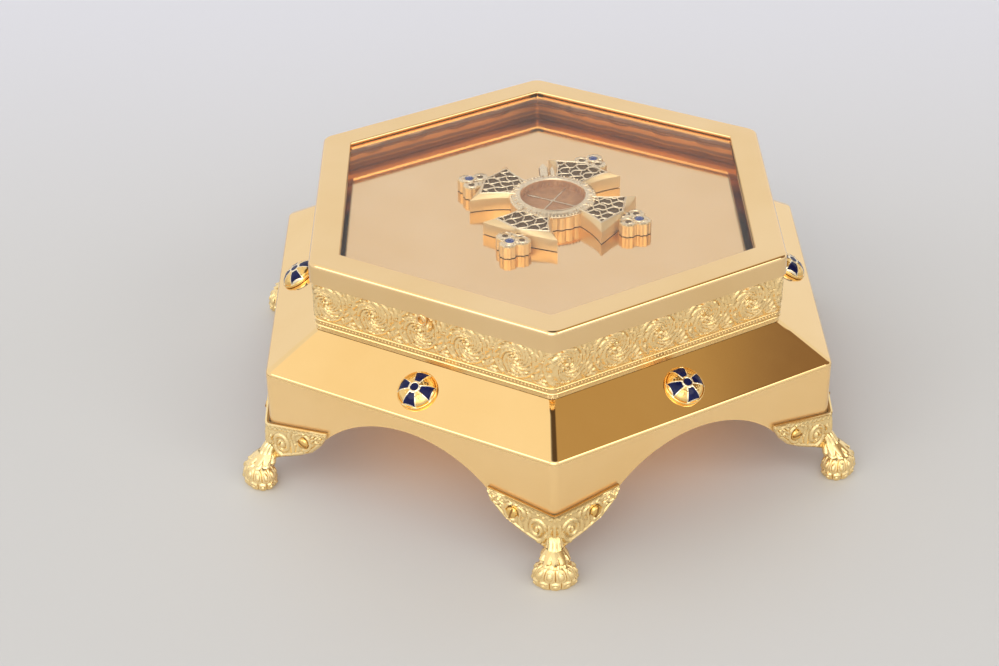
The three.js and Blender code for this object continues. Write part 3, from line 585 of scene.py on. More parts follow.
def medallion_material():
    """Gilt with a dark blue cross in enamel; the map runs over the dome in millimetres."""
    shader = new_shader("enamelled_gilt")
    maths = shader.maths
    face = shader.axes(shader.nodes.new("ShaderNodeUVMap").outputs["UV"])
    x = maths("ABSOLUTE", face["X"])
    y = maths("ABSOLUTE", face["Y"])
    radius = maths("SQRT", maths("ADD", maths("POWER", x, 2), maths("POWER", y, 2)))
    enamel = maths("LESS_THAN", radius, HUB_RADIUS)
    line = maths("LESS_THAN", radius, HUB_RING)
    for long, wide in ((x, y), (y, x)):
        flare = maths("MULTIPLY", long, BLADE_FLARE)
        in_width = maths("LESS_THAN", wide, maths("ADD", flare, BLADE_ROOT))
        past_hub = maths("GREATER_THAN", long, BLADE_NEAR)
        before_end = maths("LESS_THAN", long, BLADE_FAR)
        blade = maths("MULTIPLY", in_width, maths("MULTIPLY", past_hub, before_end))
        enamel = maths("MAXIMUM", enamel, blade)
        in_line = maths("LESS_THAN", wide, maths("ADD", flare, BLADE_ROOT + LINE_WIDTH))
        in_reach = maths("LESS_THAN", long, BLADE_FAR + LINE_WIDTH)
        line = maths("MAXIMUM", line, maths("MULTIPLY", in_line, in_reach))
    tone = shader.spread(shader.noise(shader.place(), 400.0))
    # the outlines take the pale colour: a painted highlight over real raised lines
    gold = shader.mixed(line, shader.mixed(tone, *DOME_GOLDS), LINE_HIGHLIGHT_GOLD)
    return shader.surface({
        "Base Color": shader.mixed(enamel, gold, shader.mixed(tone, *ENAMEL_BLUES)),
        "Metallic": maths("SUBTRACT", 1, enamel),
        "Specular IOR Level": 0.2,
        "Roughness": shader.spread(tone, 0.06, 0.14),
    })


enamelled = medallion_material()


# Base shell: skirt with its arches, rolled eave and sloped roof
def arch_height(distance):
    inside = np.clip(ARCH_RADIUS ** 2 - distance ** 2, 0, None)
    return np.maximum(SKIRT_BOTTOM, ARCH_TOP - ARCH_RADIUS + np.sqrt(inside))


def base_shell():
    form = Form()
    flats = side_samples(72)
    slope = math.atan2(ROOF_RISE, (BODY_RADIUS - NECK_RADIUS) * COS30)
    rows = []

    def ring(radius, fillet, height, arched=None):
        points, _, distance = outline(radius, fillet, flats, CORNER_ARCS)
        if arched is not None:
            low = arch_height(distance)
            height = low + (height - low) * arched
        rows.append(with_height(points, height))

    inner = inset(BODY_RADIUS, SHEET)
    inner_fillet = BODY_FILLET - SHEET
    edge = 0.25
    ring(inner, inner_fillet, EAVE_HEIGHT, 0)
    ring(inset(BODY_RADIUS, edge), BODY_FILLET, EAVE_HEIGHT, 0)
    points, _, distance = outline(BODY_RADIUS, BODY_FILLET, flats, CORNER_ARCS)
    for lift in (edge, 2 * edge):
        rows.append(with_height(points, arch_height(distance) + lift))
    eave_start = EAVE_HEIGHT - EAVE_ROUND * math.tan((math.pi / 2 - slope) / 2)
    for share in (0.35, 0.7, 0.97):
        low = arch_height(distance) + 2 * edge
        rows.append(with_height(points, low + (eave_start - low) * share))
    turns = np.linspace(0, math.pi / 2 - slope, 7)
    for turn in turns:
        back = EAVE_ROUND * (1 - math.cos(turn))
        ring(inset(BODY_RADIUS, back), BODY_FILLET, eave_start + EAVE_ROUND * math.sin(turn))
    run_start = EAVE_ROUND * (1 - math.cos(turns[-1]))
    rise_start = eave_start + EAVE_ROUND * math.sin(turns[-1])
    run_end = (BODY_RADIUS - NECK_RADIUS) * COS30
    for share in (0.02, 0.25, 0.5, 0.75, 1.0):
        back = run_start + (run_end - run_start) * share
        height = rise_start + (EAVE_HEIGHT + ROOF_RISE - rise_start) * share
        ring(inset(BODY_RADIUS, back), BODY_FILLET + (BAND_FILLET - BODY_FILLET) * share, height)
    shelf = inset(NECK_RADIUS, NECK_WALL + SEAT_SHELF)
    roof_top = EAVE_HEIGHT + ROOF_RISE
    ring(shelf, inner_fillet, roof_top)
    ring(shelf, inner_fillet, roof_top - SHEET)
    under = SHEET / math.cos(slope)
    ring(inset(NECK_RADIUS, (under - SHEET) / math.tan(slope)), inner_fillet, roof_top - SHEET)
    ring(inner, inner_fillet, EAVE_HEIGHT - under + SHEET * math.tan(slope))
    ring(inner, inner_fillet, EAVE_HEIGHT, 0.5)
    form.band(rows[:8], 2)
    form.band(rows[7:-4])
    form.band(rows[-5:] + rows[:2], 1)
    materials = [body_gilt, inner_gilt, skirt_gilt]
    form.piece("base_shell_dressed", materials, "polished_gilt", ["base_shell"], 30)


# Neck: scroll relief over a beaded border
def neck_tile(pitch, height):
    """One whorl of the running leaf scroll: x runs along the side, y from the tile's foot."""
    tile = Relief(-pitch / 2, pitch / 2, 0, height, 0.14, pitch)
    middle = height / 2
    reach = height / 2 - 0.5
    # fans in the corners between the whorls
    for direction, length in ((160, 5.0), (125, 6.4), (90, 7.0), (55, 6.4), (20, 5.0)):
        path = petal(-pitch / 2 + 0.6, height - 8.2, direction, length, 0.25)
        tile.stroke(path, leaf_widths(8, 1.1), 0.85)
    for direction, length in ((150, 4.4), (112, 6.0), (75, 6.8), (40, 5.6), (8, 4.4)):
        path = petal(pitch / 2 - 1.6, 0.6, direction, length, -0.3)
        tile.stroke(path, leaf_widths(8, 1.15), 0.85)
    # outer leaves that flick off the stem
    for start in range(205, -40, -24):
        path = spiral(0, middle, reach - 0.6, reach + 2.6, start, start + 26, 8)
        tile.stroke(path, leaf_widths(8, 0.95), 0.8)
    # the stem, winding in clockwise
    stem = spiral(0, middle, reach + 1.6, reach - 1.3, 232, -120, 40)
    tile.stroke(stem, np.linspace(0.8, 1.15, 40), 1.0, vein=0.45)
    # swirling leaves inside it
    for start in range(190, -150, -34):
        path = spiral(0, middle, reach - 1.6, 2.6, start, start - 118, 14)
        tile.stroke(path, leaf_widths(14, 1.25, 0.5), 1.0, vein=0.35)
    for start in range(0, 360, 60):
        path = spiral(0, middle, 3.0, 0.6, start, start - 80, 8)
        tile.stroke(path, leaf_widths(8, 0.75), 1.15)
    tile.stroke(petal(0, middle, 0, 0.3, 0, 3), np.full(3, 1.0), 1.3, vein=0)
    return tile


# The beaded border between two half-round mouldings: height over its foot and how far it stands out
BORDER_PROFILE = (
    (0, 0), (0.15, 0.5), (0.5, 0.75), (0.9, 0.5), (1.05, 0.15),
    (3.0, 0.15), (3.15, 0.5), (3.5, 0.75), (3.85, 0.5), (4.0, 0.0),
)


def neck_band():
    form = Form()
    half = NECK_RADIUS / 2 - BAND_FILLET * TAN30
    side_length = 2 * half + BAND_FILLET * STEP
    pitch = side_length / SCROLLS_PER_SIDE
    spacing = pitch / SCROLL_COLUMNS
    flats = np.linspace(-1, 1, int(round(2 * half / spacing)) + 1)
    arcs = np.linspace(0, 1, 7)[1:-1]
    points, normals, distance = outline(NECK_RADIUS, BAND_FILLET, flats, arcs)
    top = FASCIA_BOTTOM + 1.0
    tile = neck_tile(pitch, top - RELIEF_BOTTOM)
    rows = []

    def ring(height, proud=0.0):
        rows.append(with_height(points + normals * np.reshape(proud, (-1, 1)), height))

    ring(NECK_BOTTOM)
    low = NECK_BOTTOM + FOOT_STRIP
    for lift, proud in BORDER_PROFILE:
        ring(low + lift, proud)
    for i in range(RELIEF_ROWS + 1):
        height = RELIEF_BOTTOM + 0.1 + (top - RELIEF_BOTTOM - 0.1) * i / RELIEF_ROWS
        level = np.full(len(distance), height - RELIEF_BOTTOM)
        ring(height, tile.read(distance + PATTERN_SHIFT * pitch, level) * RELIEF_PROUD)
    ring(top + 0.2)
    ring(NECK_TOP)
    form.band(rows)
    bead_pitch = pitch / BEADS_PER_SCROLL
    bead = [(0.55, 0.0), (0.4, 0.42), (0.0, 0.6)]
    for side in range(SIDES):
        for i in range(SCROLLS_PER_SIDE * BEADS_PER_SCROLL):
            along = (i + 0.5) * bead_pitch - side_length / 2
            if abs(along) > half:
                continue
            place = on_side(side, NECK_RADIUS * COS30, along, low + 2.0)
            form.lathe(bead, 6, place @ Matrix.Rotation(math.pi / 2, 4, "Y"))
    inner_side(form, pitch)
    lug(form)
    form.piece("neck_band_dressed", [embossed, inner_band], "embossed_gilt", ["neck_band"], 50)


def inner_side(form, pitch):
    """The inner wall of the neck, with the backs of the whorls, its ledge and the closed edges."""
    inner = inset(NECK_RADIUS, NECK_WALL)
    fillet = BAND_FILLET - NECK_WALL
    points, normals, distance = outline(inner, fillet, np.linspace(-1, 1, 90), [0.25, 0.5, 0.75])
    way = np.abs(((distance / pitch) % 1) - 0.5) * pitch
    rows = []
    for height in np.concatenate([np.linspace(NECK_TOP, LEDGE_TOP, 18), [NECK_BOTTOM]]):
        rise = np.clip(1 - (way / 5.5) ** 2 - ((height - 97.6) / 1.6) ** 2, 0, 1)
        rows.append(with_height(points - normals * (0.8 * np.sqrt(rise))[:, None], height))
    form.band(rows, 1)

    def plain_ring(radius, ring_fillet, height):
        return with_height(outline(radius, ring_fillet, [-1, 1], [0.5])[0], height)

    ledge = inset(NECK_RADIUS, NECK_WALL + LEDGE_WIDTH)
    profile = (
        (inner, LEDGE_TOP), (ledge, LEDGE_TOP), (ledge, LEDGE_TOP - LEDGE_HEIGHT),
        (inner, LEDGE_TOP - LEDGE_HEIGHT - LEDGE_WIDTH),
    )
    form.band([plain_ring(radius, fillet, height) for radius, height in profile])
    for height in (NECK_TOP, NECK_BOTTOM):
        edge = [plain_ring(NECK_RADIUS, BAND_FILLET, height), plain_ring(inner, fillet, height)]
        form.band(edge)


def lug(form):
    """The upright eye beside the lid's ring, for a sealing wire."""
    top = FASCIA_BOTTOM - 1.2
    middle = top - 2.4
    reach = NECK_RADIUS * COS30 + 2.6
    place = on_side(FRONT_LEFT, reach, 1.5, middle) @ Matrix.Rotation(math.pi / 2, 4, "X")
    profile = [
        (1.2, -0.6), (2.1, -0.6), (2.4, -0.3), (2.4, 0.3), (2.1, 0.6), (1.2, 0.6), (1.1, 0), (1.2, -0.6),
    ]
    form.lathe(profile, 24, place)
    root = [[(-3.4, y, z) for y in (-2.2, 2.2)] for z in (-0.6, 0.6)]
    tip = [[(-1.2, y, z) for y in (-2.0, 2.0)] for z in (-0.6, 0.6)]
    block = [root[0] + root[1][::-1], tip[0] + tip[1][::-1]]
    form.band([put(row, place) for row in block])


# Lid
def lid_frame():
    form = Form()
    flats = side_samples(10)
    rows = []

    def ring(radius, fillet, height):
        rows.append(with_height(outline(radius, fillet, flats, CORNER_ARCS)[0], height))

    rim_inner = inset(LID_RADIUS, LID_WALL)
    opening = inset(LID_RADIUS, FRAME_WIDTH)
    inner_fillet = 0.8
    ring(rim_inner, LID_FILLET - LID_WALL, FASCIA_BOTTOM)
    ring(inset(LID_RADIUS, 0.25), LID_FILLET, FASCIA_BOTTOM)
    ring(LID_RADIUS, LID_FILLET, FASCIA_BOTTOM + 0.25)
    ring(LID_RADIUS, LID_FILLET, FASCIA_BOTTOM + 0.5)
    ring(LID_RADIUS, LID_FILLET, LID_TOP - LID_ROUND - 0.2)
    for turn in np.linspace(0, math.pi / 2, 7):
        back = LID_ROUND * (1 - math.cos(turn))
        ring(inset(LID_RADIUS, back), LID_FILLET, LID_TOP - LID_ROUND + LID_ROUND * math.sin(turn))
    ring(inset(LID_RADIUS, LID_ROUND + 0.2), LID_FILLET, LID_TOP)
    ring(inset(opening, -1.2), inner_fillet, LID_TOP)
    ring(inset(opening, -1.0), inner_fillet, LID_TOP)
    for turn in np.linspace(0, math.pi / 2, 5)[1:]:
        back = 1.0 - 0.9 * math.sin(turn)
        ring(inset(opening, -back), inner_fillet, LID_TOP - 0.9 * (1 - math.cos(turn)))
    ring(opening, inner_fillet, GROOVE_TOP)
    ring(GROOVE_WALL, inner_fillet, GROOVE_TOP)
    ring(GROOVE_WALL, inner_fillet, GROOVE_BOTTOM)
    ring(opening, inner_fillet, GROOVE_BOTTOM)
    ring(opening, inner_fillet, GROOVE_BOTTOM - 1)
    ring(GROOVE_WALL + LID_WALL / COS30, inner_fillet, GROOVE_BOTTOM - 1)
    ring(GROOVE_WALL + LID_WALL / COS30, inner_fillet, PLATE_UNDERSIDE)
    ring(rim_inner, LID_FILLET - LID_WALL, PLATE_UNDERSIDE)
    form.grid(rows, wrap_rows=True, wrap_columns=True)
    place = on_side(FRONT_LEFT, LID_RADIUS * COS30, -3, FASCIA_BOTTOM - 2.0)
    place = place @ Matrix.Rotation(math.pi / 2, 4, "Y")
    turns = np.linspace(0, 2 * math.pi, 11)[:-1]
    form.lathe([(2.3 + 0.55 * math.cos(t), 0.55 * math.sin(t)) for t in [*turns, 0]], 28, place)
    form.piece("lid_frame_dressed", [polished], "polished_gilt", ["lid_frame"], 30)


# Feet. Made for the corner on +X, then turned.
def wing_relief():
    """Relief of a wing: x is the way from the fold along the wing, y the height."""
    art = Relief(-2, WING_LENGTH + 3, 9, WING_TOP + WING_TIP_RISE + 2, 0.12)

    # flutes that sweep from the great scroll to the tip
    for x, y, direction, length in ((13.5, 17.6, 72, 8.5), (15.6, 18.2, 60, 9), (18.5, 19.6, 46, 9),
                                    (22.5, 22.2, 44, 9), (26.0, 25.0, 46, 8)):
        art.stroke(petal(x, y, direction, length, 0.35), leaf_widths(8, 1.0), 0.6)
    # smooth lower rim
    ways = np.linspace(6, WING_LENGTH, 30)
    lower = np.array([wing_low(x) for x in ways])
    art.stroke(np.column_stack([ways - 0.6, lower + 1.1]), np.full(30, 0.7), 0.7, vein=0)
    # the great oval scroll beside the fold, with a rounded boss and a leaf inside it
    great = spiral(0, 0, 6.3, 1.9, 262, 262 - 500, 44) * (0.80, 1.0) + (8.4, 22.0)
    art.stroke(great, np.linspace(1.05, 0.6, 44), 1.1, vein=0.35)
    art.stroke(petal(8.4, 20.8, 75, 2.4, 0.2, 5), np.array([0.7, 1.15, 1.1, 0.8, 0.4]), 1.2, vein=0)
    # a scroll round the screw and a small one at the tip
    round_screw = spiral(SCREW_FROM_CORNER, SCREW_HEIGHT, 4.7, 4.3, 215, 215 - 300, 30)
    art.stroke(round_screw, np.linspace(0.45, 0.85, 30), 0.9, vein=0.2)
    at_tip = spiral(28.4, 31.0, 3.0, 0.9, 230, 230 - 480, 30)
    art.stroke(at_tip, np.linspace(0.75, 0.45, 30), 0.9, vein=0)
    for x, direction in ((12.6, 108), (14.9, 96), (24.8, 70), (31.2, 100)):
        art.stroke(petal(x, wing_top(x) - 6.2, direction, 3.6, -0.5), leaf_widths(8, 0.95), 0.9)
    # palmette on the fold, over a drop
    for direction, length in ((4, 5.2), (26, 6.6), (47, 8.2), (68, 9.4), (90, 10.4)):
        bend = 0.45 if direction < 90 else 0
        art.stroke(petal(0.0, 18.6, direction, length, bend), leaf_widths(8, 1.0), 1.1, vein=0.45)
    art.stroke(petal(0, 15.8, 90, 2.2, 0, 4), np.array([0.6, 1.2, 1.2, 0.6]), 1.3, vein=0)
    # loops that hang under a plain top rim
    for x in np.arange(2.2, WING_LENGTH - 1.5, 2.7):
        loop = spiral(x, wing_top(x) - 1.3, 1.1, 1.1, 190, 350, 8)
        art.stroke(loop, np.full(8, 0.3), 0.5, vein=0)
    ways = np.linspace(0, WING_LENGTH, 24)
    rim = np.column_stack([ways, [wing_top(x) - 0.4 for x in ways]])
    art.stroke(rim, np.full(24, 0.42), 0.45, vein=0)
    return art


WING_LOW_POINTS = (
    (0, 12.0), (3.4, 12.2), (5.6, 13.3), (8.8, 14.8), (12.5, 16.2), (18, 18.6), (25, 22.6), (30.5, 28.2),
    (33.5, 33.6),
)


def wing_top(x):
    return WING_TOP + WING_TIP_RISE * abs(x) / WING_LENGTH


def wing_low(x):
    """Height of a wing's lower edge at a distance from the fold."""
    return float(np.interp(abs(x), *zip(*WING_LOW_POINTS)))


def wings(form, art):
    corner = WING_OUTSIDE / COS30
    half_arc = WING_FILLET * STEP / 2
    middle = corner - WING_FILLET / COS30
    overlap = corner * 0.5
    columns = np.linspace(-WING_LENGTH, WING_LENGTH, 149)
    rows_up = 40

    def on_path(p, out):
        """The point at a way along the wings from the fold, and the outward direction there."""
        sign = 1 if p >= 0 else -1
        way = abs(p)
        if way < half_arc:
            turn = p / WING_FILLET
            normal = np.array([math.cos(turn), math.sin(turn)])
            return np.array([middle, 0]) + (WING_FILLET + out) * normal
        turn = sign * STEP / 2
        normal = np.array([math.cos(turn), math.sin(turn)])
        along = np.array([-math.sin(turn), math.cos(turn)])
        tangent = overlap - WING_FILLET * TAN30
        s = -sign * (tangent - (way - half_arc))
        return (WING_OUTSIDE + out) * normal + along * s

    shape = (rows_up + 1, len(columns))
    front = np.zeros((*shape, 3))
    back = np.zeros((*shape, 3))
    for j, p in enumerate(columns):
        x = abs(p)
        low = wing_low(x)
        top = wing_top(x)
        heights = np.linspace(low, top, rows_up + 1)
        rise = art.read(np.full(rows_up + 1, x), heights)
        fade = np.clip(np.minimum(heights - low, top - heights) / 0.35, 0, 1)
        end = min(1.0, (WING_LENGTH - x) / 0.4)
        out = rise * fade * end - (1 - np.sqrt(fade)) * 0.35
        for i, height in enumerate(heights):
            front[i, j] = (*on_path(p, out[i]), height)
            back[i, j] = (*on_path(p, -WING_THICKNESS), height)
    lip = np.array([[*on_path(p, -0.45), wing_top(p) + 0.02] for p in columns])
    form.grid(front)
    form.grid(back[::4, ::4])
    form.grid([front[0], back[0]])
    form.grid([front[-1], lip])
    # the top edge behind the lip takes the dark slot colour: painted shade
    form.grid([lip, back[-1]], mark=1)
    form.grid([front[:, 0], back[:, 0]])
    form.grid([front[:, -1], back[:, -1]])


def leg(form):
    """A fluted waist that leans out from the fold, and a collar of curling leaf tips over the paw."""
    turns = once_round(72)
    path = ((BODY_RADIUS - 2.2, 21.6, 2.2), (BODY_RADIUS - 0.4, 20.0, 3.0), (BODY_RADIUS + 0.9, 18.2, 3.3),
            (BODY_RADIUS + 1.8, 16.8, 3.4), (BODY_RADIUS + 2.4, 15.6, 3.9), (BODY_RADIUS + 3.0, 14.4, 4.9),
            (BODY_RADIUS + 4.0, 12.8, 5.4), (BODY_RADIUS + 5.6, 10.6, 6.4))
    rows = []
    for x, z, radius in path:
        ribs = radius * (0.92 + 0.14 * np.abs(np.cos(4 * turns)))
        rows.append(with_height(circle(ribs, turns, x), z))
    form.band(rows)
    tips = 9
    point = np.abs(np.cos(turns * tips / 2)) ** 0.7
    for inward in (0.0, 0.55):
        rows = []
        for share in np.linspace(0, 1, 9):
            radius = 4.0 - inward + share * (1.0 + 2.1 * point) + 0.5 * math.sin(math.pi * share)
            height = 15.9 - inward - share * (3.6 + 1.2 * point) + 1.1 * share ** 3 * point
            out = BODY_RADIUS + 2.5 + share * 2.6
            rows.append(with_height(circle(radius, turns, out), height))
        form.band(rows)


def paw(form):
    """A flattened paw as radii over a dome: petals with a loop in each, over a row of small curls."""
    segments, rings = 240, 60
    turns = once_round(segments) - math.pi
    centre = BODY_RADIUS + PAW_REACH - PAW_LENGTH / 2
    toes = 11
    across = (turns * toes / (2 * math.pi)) % 1 - 0.5
    between = (across + 1) % 1 - 0.5
    rows = []
    for share in np.linspace(0, 1, rings):
        body = math.sqrt(max(0.0, 1 - ((share - 0.34) / 0.69) ** 2))
        upper = np.sqrt(np.clip(1 - (2 * across) ** 2, 0, 1))
        lower = np.sqrt(np.clip(1 - (2 * between) ** 2, 0, 1))
        upper_band = math.exp(-(((share - 0.66) / 0.25) ** 4))
        lower_band = math.exp(-(((share - 0.17) / 0.19) ** 4))
        upper_loop = np.hypot(2 * across, (share - 0.62) / 0.30)
        lower_loop = np.hypot(2 * between, (share - 0.18) / 0.16)
        bump = 0.17 * upper * upper_band + 0.18 * lower * lower_band
        bump = bump - 0.065 * np.exp(-(((upper_loop - 0.55) / 0.16) ** 2)) * upper_band
        bump = bump - 0.055 * np.exp(-(((lower_loop - 0.55) / 0.20) ** 2)) * lower_band
        scale = body * (0.82 + bump)
        rows.append(np.column_stack([
            centre + PAW_LENGTH / 2 * scale * np.cos(turns), PAW_WIDTH / 2 * scale * np.sin(turns),
            np.full(segments, PAW_HEIGHT * share),
        ]))
    form.band(rows)
    form.fan(rows[0], (centre, 0, 0))
    form.fan(rows[-1], (centre, 0, PAW_HEIGHT * 1.01))


def feet():
    art = wing_relief()
    for corner in range(SIDES):
        form = Form()
        wings(form, art)
        leg(form)
        paw(form)
        form.moved(Matrix.Rotation(corner_angle(corner), 4, "Z"))
        name = f"foot_{corner + 1}"
        form.piece(f"{name}_dressed", [cast, slot_shade], "cast_gilt", [name], 60)


def screws():
    head = SCREW_HEAD / 2
    half = SLOT_WIDTH / 2
    shoulder = 0.85
    crown = head * 0.9
    profile = [(SHANK_RADIUS, -SHANK_REACH), (SHANK_RADIUS, 0), (head, 0), (head, 0.55), (crown, shoulder)]
    for turn in np.linspace(0, math.pi / 2, 6)[1:-1]:
        profile.append((crown * math.cos(turn), shoulder + (SCREW_TOP - shoulder) * math.sin(turn)))
    profile.append((0.001, SCREW_TOP))
    end = head * 0.93
    slot = np.array([(-end, -half), (end, -half), (end, half), (-end, half)])
    for side in range(SIDES):
        for sign in (-1, 1):
            form = Form()
            form.lathe(profile, 40)
            lean = Matrix.Rotation(0.6 + 0.9 * (side + sign), 4, "Z")
            bar = [put(with_height(slot, height), lean) for height in (SLOT_FLOOR, SCREW_TOP + 0.02)]
            # the slot's walls and floor take the dark slot colour: painted shade
            form.band(bar, 1)
            form.add(bar[1], [(0, 1, 2, 3)], 1)
            along = sign * (BODY_RADIUS / 2 - SCREW_FROM_CORNER)
            place = on_side(side, WING_OUTSIDE + GAP, along, SCREW_HEIGHT)
            form.moved(place @ Matrix.Rotation(math.pi / 2, 4, "Y"))
            name = f"foot_screw_{2 * side + (sign + 3) // 2}"
            form.piece(f"{name}_dressed", [screw_gilt, slot_shade], "screw_gilt", [name], 40)


# Medallions
def medallion_sprigs():
    """A small three-leaved sprig in each quarter between the arms of the cross."""
    art = Relief(-MEDALLION_RADIUS, MEDALLION_RADIUS, -MEDALLION_RADIUS, MEDALLION_RADIUS, 0.08)
    for quarter in range(4):
        way = 45 + 90 * quarter
        x, y = (4.4 * f(math.radians(way)) for f in (math.cos, math.sin))
        for lean in (-55, 55, 0):
            art.stroke(petal(x, y, way + lean, 2.3, lean / 120), leaf_widths(8, 0.55), 1.0, groove=0.25)
    return art


sprigs = medallion_sprigs()


def medallion_height(x, y):
    """Height of a medallion's face over its base, without the rim."""
    radius = np.hypot(x, y)
    body = 1.0 + (MEDALLION_HEIGHT - 1.2) * np.sqrt(np.clip(1 - (radius / DOME_RADIUS) ** 2, 0, 1))
    rise = np.zeros_like(radius)
    for long, wide in ((np.abs(x), np.abs(y)), (np.abs(y), np.abs(x))):
        edge = BLADE_ROOT + BLADE_FLARE * long
        in_reach = (long > HUB_RING - 0.3) * (long < BLADE_FAR + 0.3)
        side_line = np.exp(-(((wide - edge - 0.22) / 0.24) ** 2)) * in_reach
        end_line = np.exp(-(((long - BLADE_FAR - 0.2) / 0.22) ** 2)) * (wide < edge + 0.3)
        rise = np.maximum(rise, np.maximum(side_line, end_line))
    hub = np.exp(-(((radius - (HUB_RADIUS + HUB_RING) / 2) / 0.25) ** 2))
    rise = np.maximum(rise, hub) * 0.22
    return body + rise + 0.16 * sprigs.read(x, y)


def medallions():
    turns = once_round(144)
    lift = GAP * 0.5
    rim = (
        (DOME_RADIUS + 0.05, 1.15), (DOME_RADIUS + 0.3, 1.35), (MEDALLION_RADIUS - 0.25, 1.25),
        (MEDALLION_RADIUS, 0.9), (MEDALLION_RADIUS, 0.1), (MEDALLION_RADIUS - 0.2, 0.0),
    )
    rows = []
    for radius in np.linspace(0.02, DOME_RADIUS, 46):
        ring = circle(radius, turns)
        rows.append(with_height(ring, medallion_height(*ring.T) + lift))
    for radius, height in rim:
        rows.append(with_height(circle(radius, turns), height + lift))
    width = (BODY_RADIUS - NECK_RADIUS) * COS30
    out = BODY_RADIUS * COS30 - width * MEDALLION_FROM_EAVE
    height = EAVE_HEIGHT + ROOF_RISE * MEDALLION_FROM_EAVE
    for side in range(SIDES):
        form = Form()
        form.band(rows)
        place = on_side(side, out, 0, height) @ Matrix.Rotation(math.atan2(ROOF_RISE, width), 4, "Y")
        form.moved(place)
        name = f"medallion_{side + 1}"
        piece = form.piece(f"{name}_dressed", [enamelled], "enamelled_gilt", [name], 50)
        map_face(piece.data, place)


def map_face(mesh, place):
    """Lays a map in millimetres over a medallion, seen straight from above its place."""
    spots = np.zeros(len(mesh.vertices) * 3)
    mesh.vertices.foreach_get("co", spots)
    local = put(spots.reshape(-1, 3) / MM, place.inverted())
    corners = np.zeros(len(mesh.loops), int)
    mesh.loops.foreach_get("vertex_index", corners)
    layer = mesh.uv_layers.new(name="face_map")
    layer.data.foreach_set("uv", local[corners][:, :2].ravel())


# Cross reliquary, drawn with its arms along X and Y and its base on z = 0
def arm_half(x, root, reach, tip):
    near = BEZEL_RADIUS * 0.6
    t = np.clip((x - near) / (reach - near), 0, 1)
    return (1 - t) ** 2 * root + 2 * t * (1 - t) * (root + 1.5) + t ** 2 * tip


def arm_edge(root, reach, tip, point, count=22):
    """The closed outline of an arm: curved sides, then two edges that meet at a point."""
    x = np.linspace(WINDOW_RADIUS + 1, reach, count)
    half = arm_half(x, root, reach, tip)
    share = np.linspace(0, 1, 8)[1:]
    end_x = reach + (point - reach) * share
    end_y = tip * (1 - share)
    lower = np.column_stack([np.append(x, end_x), -np.append(half, end_y)])
    upper = lower[:-1][::-1] * (1, -1)
    return np.vstack([lower, upper])


def panel_edge(shrink, count=22):
    """The outline of the openwork panel, pulled in by shrink."""
    reach = ARM_REACH - PANEL_SHORT - shrink
    point = ARM_REACH + ARM_POINT - 1.5 * shrink
    return arm_edge(PANEL_ROOT - shrink, reach, PANEL_TIP - 2 * shrink, point, count)


def arm(form):
    ground = PANEL_HEIGHT - 0.9
    body = arm_edge(ARM_ROOT, ARM_REACH, ARM_TIP, ARM_REACH + ARM_POINT)
    soft = body + (panel_edge(0) - body) * 0.06
    foot = with_height(panel_edge(0), PANEL_HEIGHT - 0.15)
    brink = with_height(panel_edge(0.15), PANEL_HEIGHT)
    floor_edge = with_height(panel_edge(0.6), ground)
    shoulder = with_height(soft, CROSS_WALL)
    form.band([with_height(body, 0), with_height(body, CROSS_WALL - 0.2), shoulder], 1)
    form.band([shoulder, foot], 1)
    form.band([foot, brink])
    form.band([brink, with_height(panel_edge(0.6), PANEL_HEIGHT), floor_edge])
    form.fan(floor_edge, (ARM_REACH * 0.72, 0.0, ground), 2)
    # knotwork: two crossing families of waving strands, each kept inside the panel
    reach, point = ARM_REACH - PANEL_SHORT, ARM_REACH + ARM_POINT
    for slope in (-1, 1):
        for start in np.arange(-44, 45, KNOT_PITCH):
            x = np.linspace(BEZEL_RADIUS - 3.0, point, 90)
            phase = 2 * math.pi * (x - start) / KNOT_PITCH
            y = slope * (x - 28.5) * 0.80 + start + 0.8 * np.sin(phase + slope)
            end = reach + (point - reach) * (1 - np.abs(y) / PANEL_TIP)
            inside = (np.abs(y) < arm_half(x, PANEL_ROOT, reach, PANEL_TIP) - 0.4) & (x < end - 0.4)
            if inside.sum() < 4:
                continue
            weave = 0.16 * slope * np.cos(phase)
            path = np.column_stack([x, y, PANEL_HEIGHT - 0.3 + weave])[inside]
            form.strand(path, np.full(len(path), 0.34), 0.34)
    rim = panel_edge(0.4)
    form.strand(with_height(np.vstack([rim, rim[:1]]), PANEL_HEIGHT), np.full(len(rim) + 1, 0.36), 0.3)
    finial(form)


def finial(form):
    lobes = ((STONE_REACH + 1.6, 0), (STONE_REACH - 3.6, FINIAL_LOBE), (STONE_REACH - 3.6, -FINIAL_LOBE),
             (ARM_REACH + 1.5, 0))
    turns = once_round(60)
    flutes = FINIAL_LOBE * (0.95 + 0.05 * np.cos(10 * turns))
    for x, y in lobes:
        ring = circle(flutes, turns, x, y)
        top = with_height(circle(flutes - 0.5, turns, x, y), FINIAL_HEIGHT)
        wall = [with_height(ring, 0), with_height(ring, FINIAL_HEIGHT - 0.4), top]
        form.band(wall, 1)
        form.fan(top, (x, y, FINIAL_HEIGHT), 0)
        if (x, y) != lobes[0]:
            recess = with_height(circle(1.5, turns, x, y), FINIAL_HEIGHT + 0.04)
            form.fan(recess, (x, y, FINIAL_HEIGHT + 0.04), 2)
        hook = spiral(x, y, 3.4, 1.5, 200, -60, 18)
        form.strand(with_height(hook, FINIAL_HEIGHT), np.full(18, 0.42), 0.4)
    ring = spiral(STONE_REACH, 0, STONE_RADIUS + 0.5, STONE_RADIUS + 0.5, 0, 360, 30)
    form.strand(with_height(ring, FINIAL_HEIGHT + 0.15), np.full(30, 0.45), 0.5)
    for way in once_round(10):
        ray = circle(np.array([2.6, 3.3, 4.1]), way, STONE_REACH)
        form.strand(with_height(ray, FINIAL_HEIGHT), np.array([0.45, 0.4, 0.2]), 0.35)


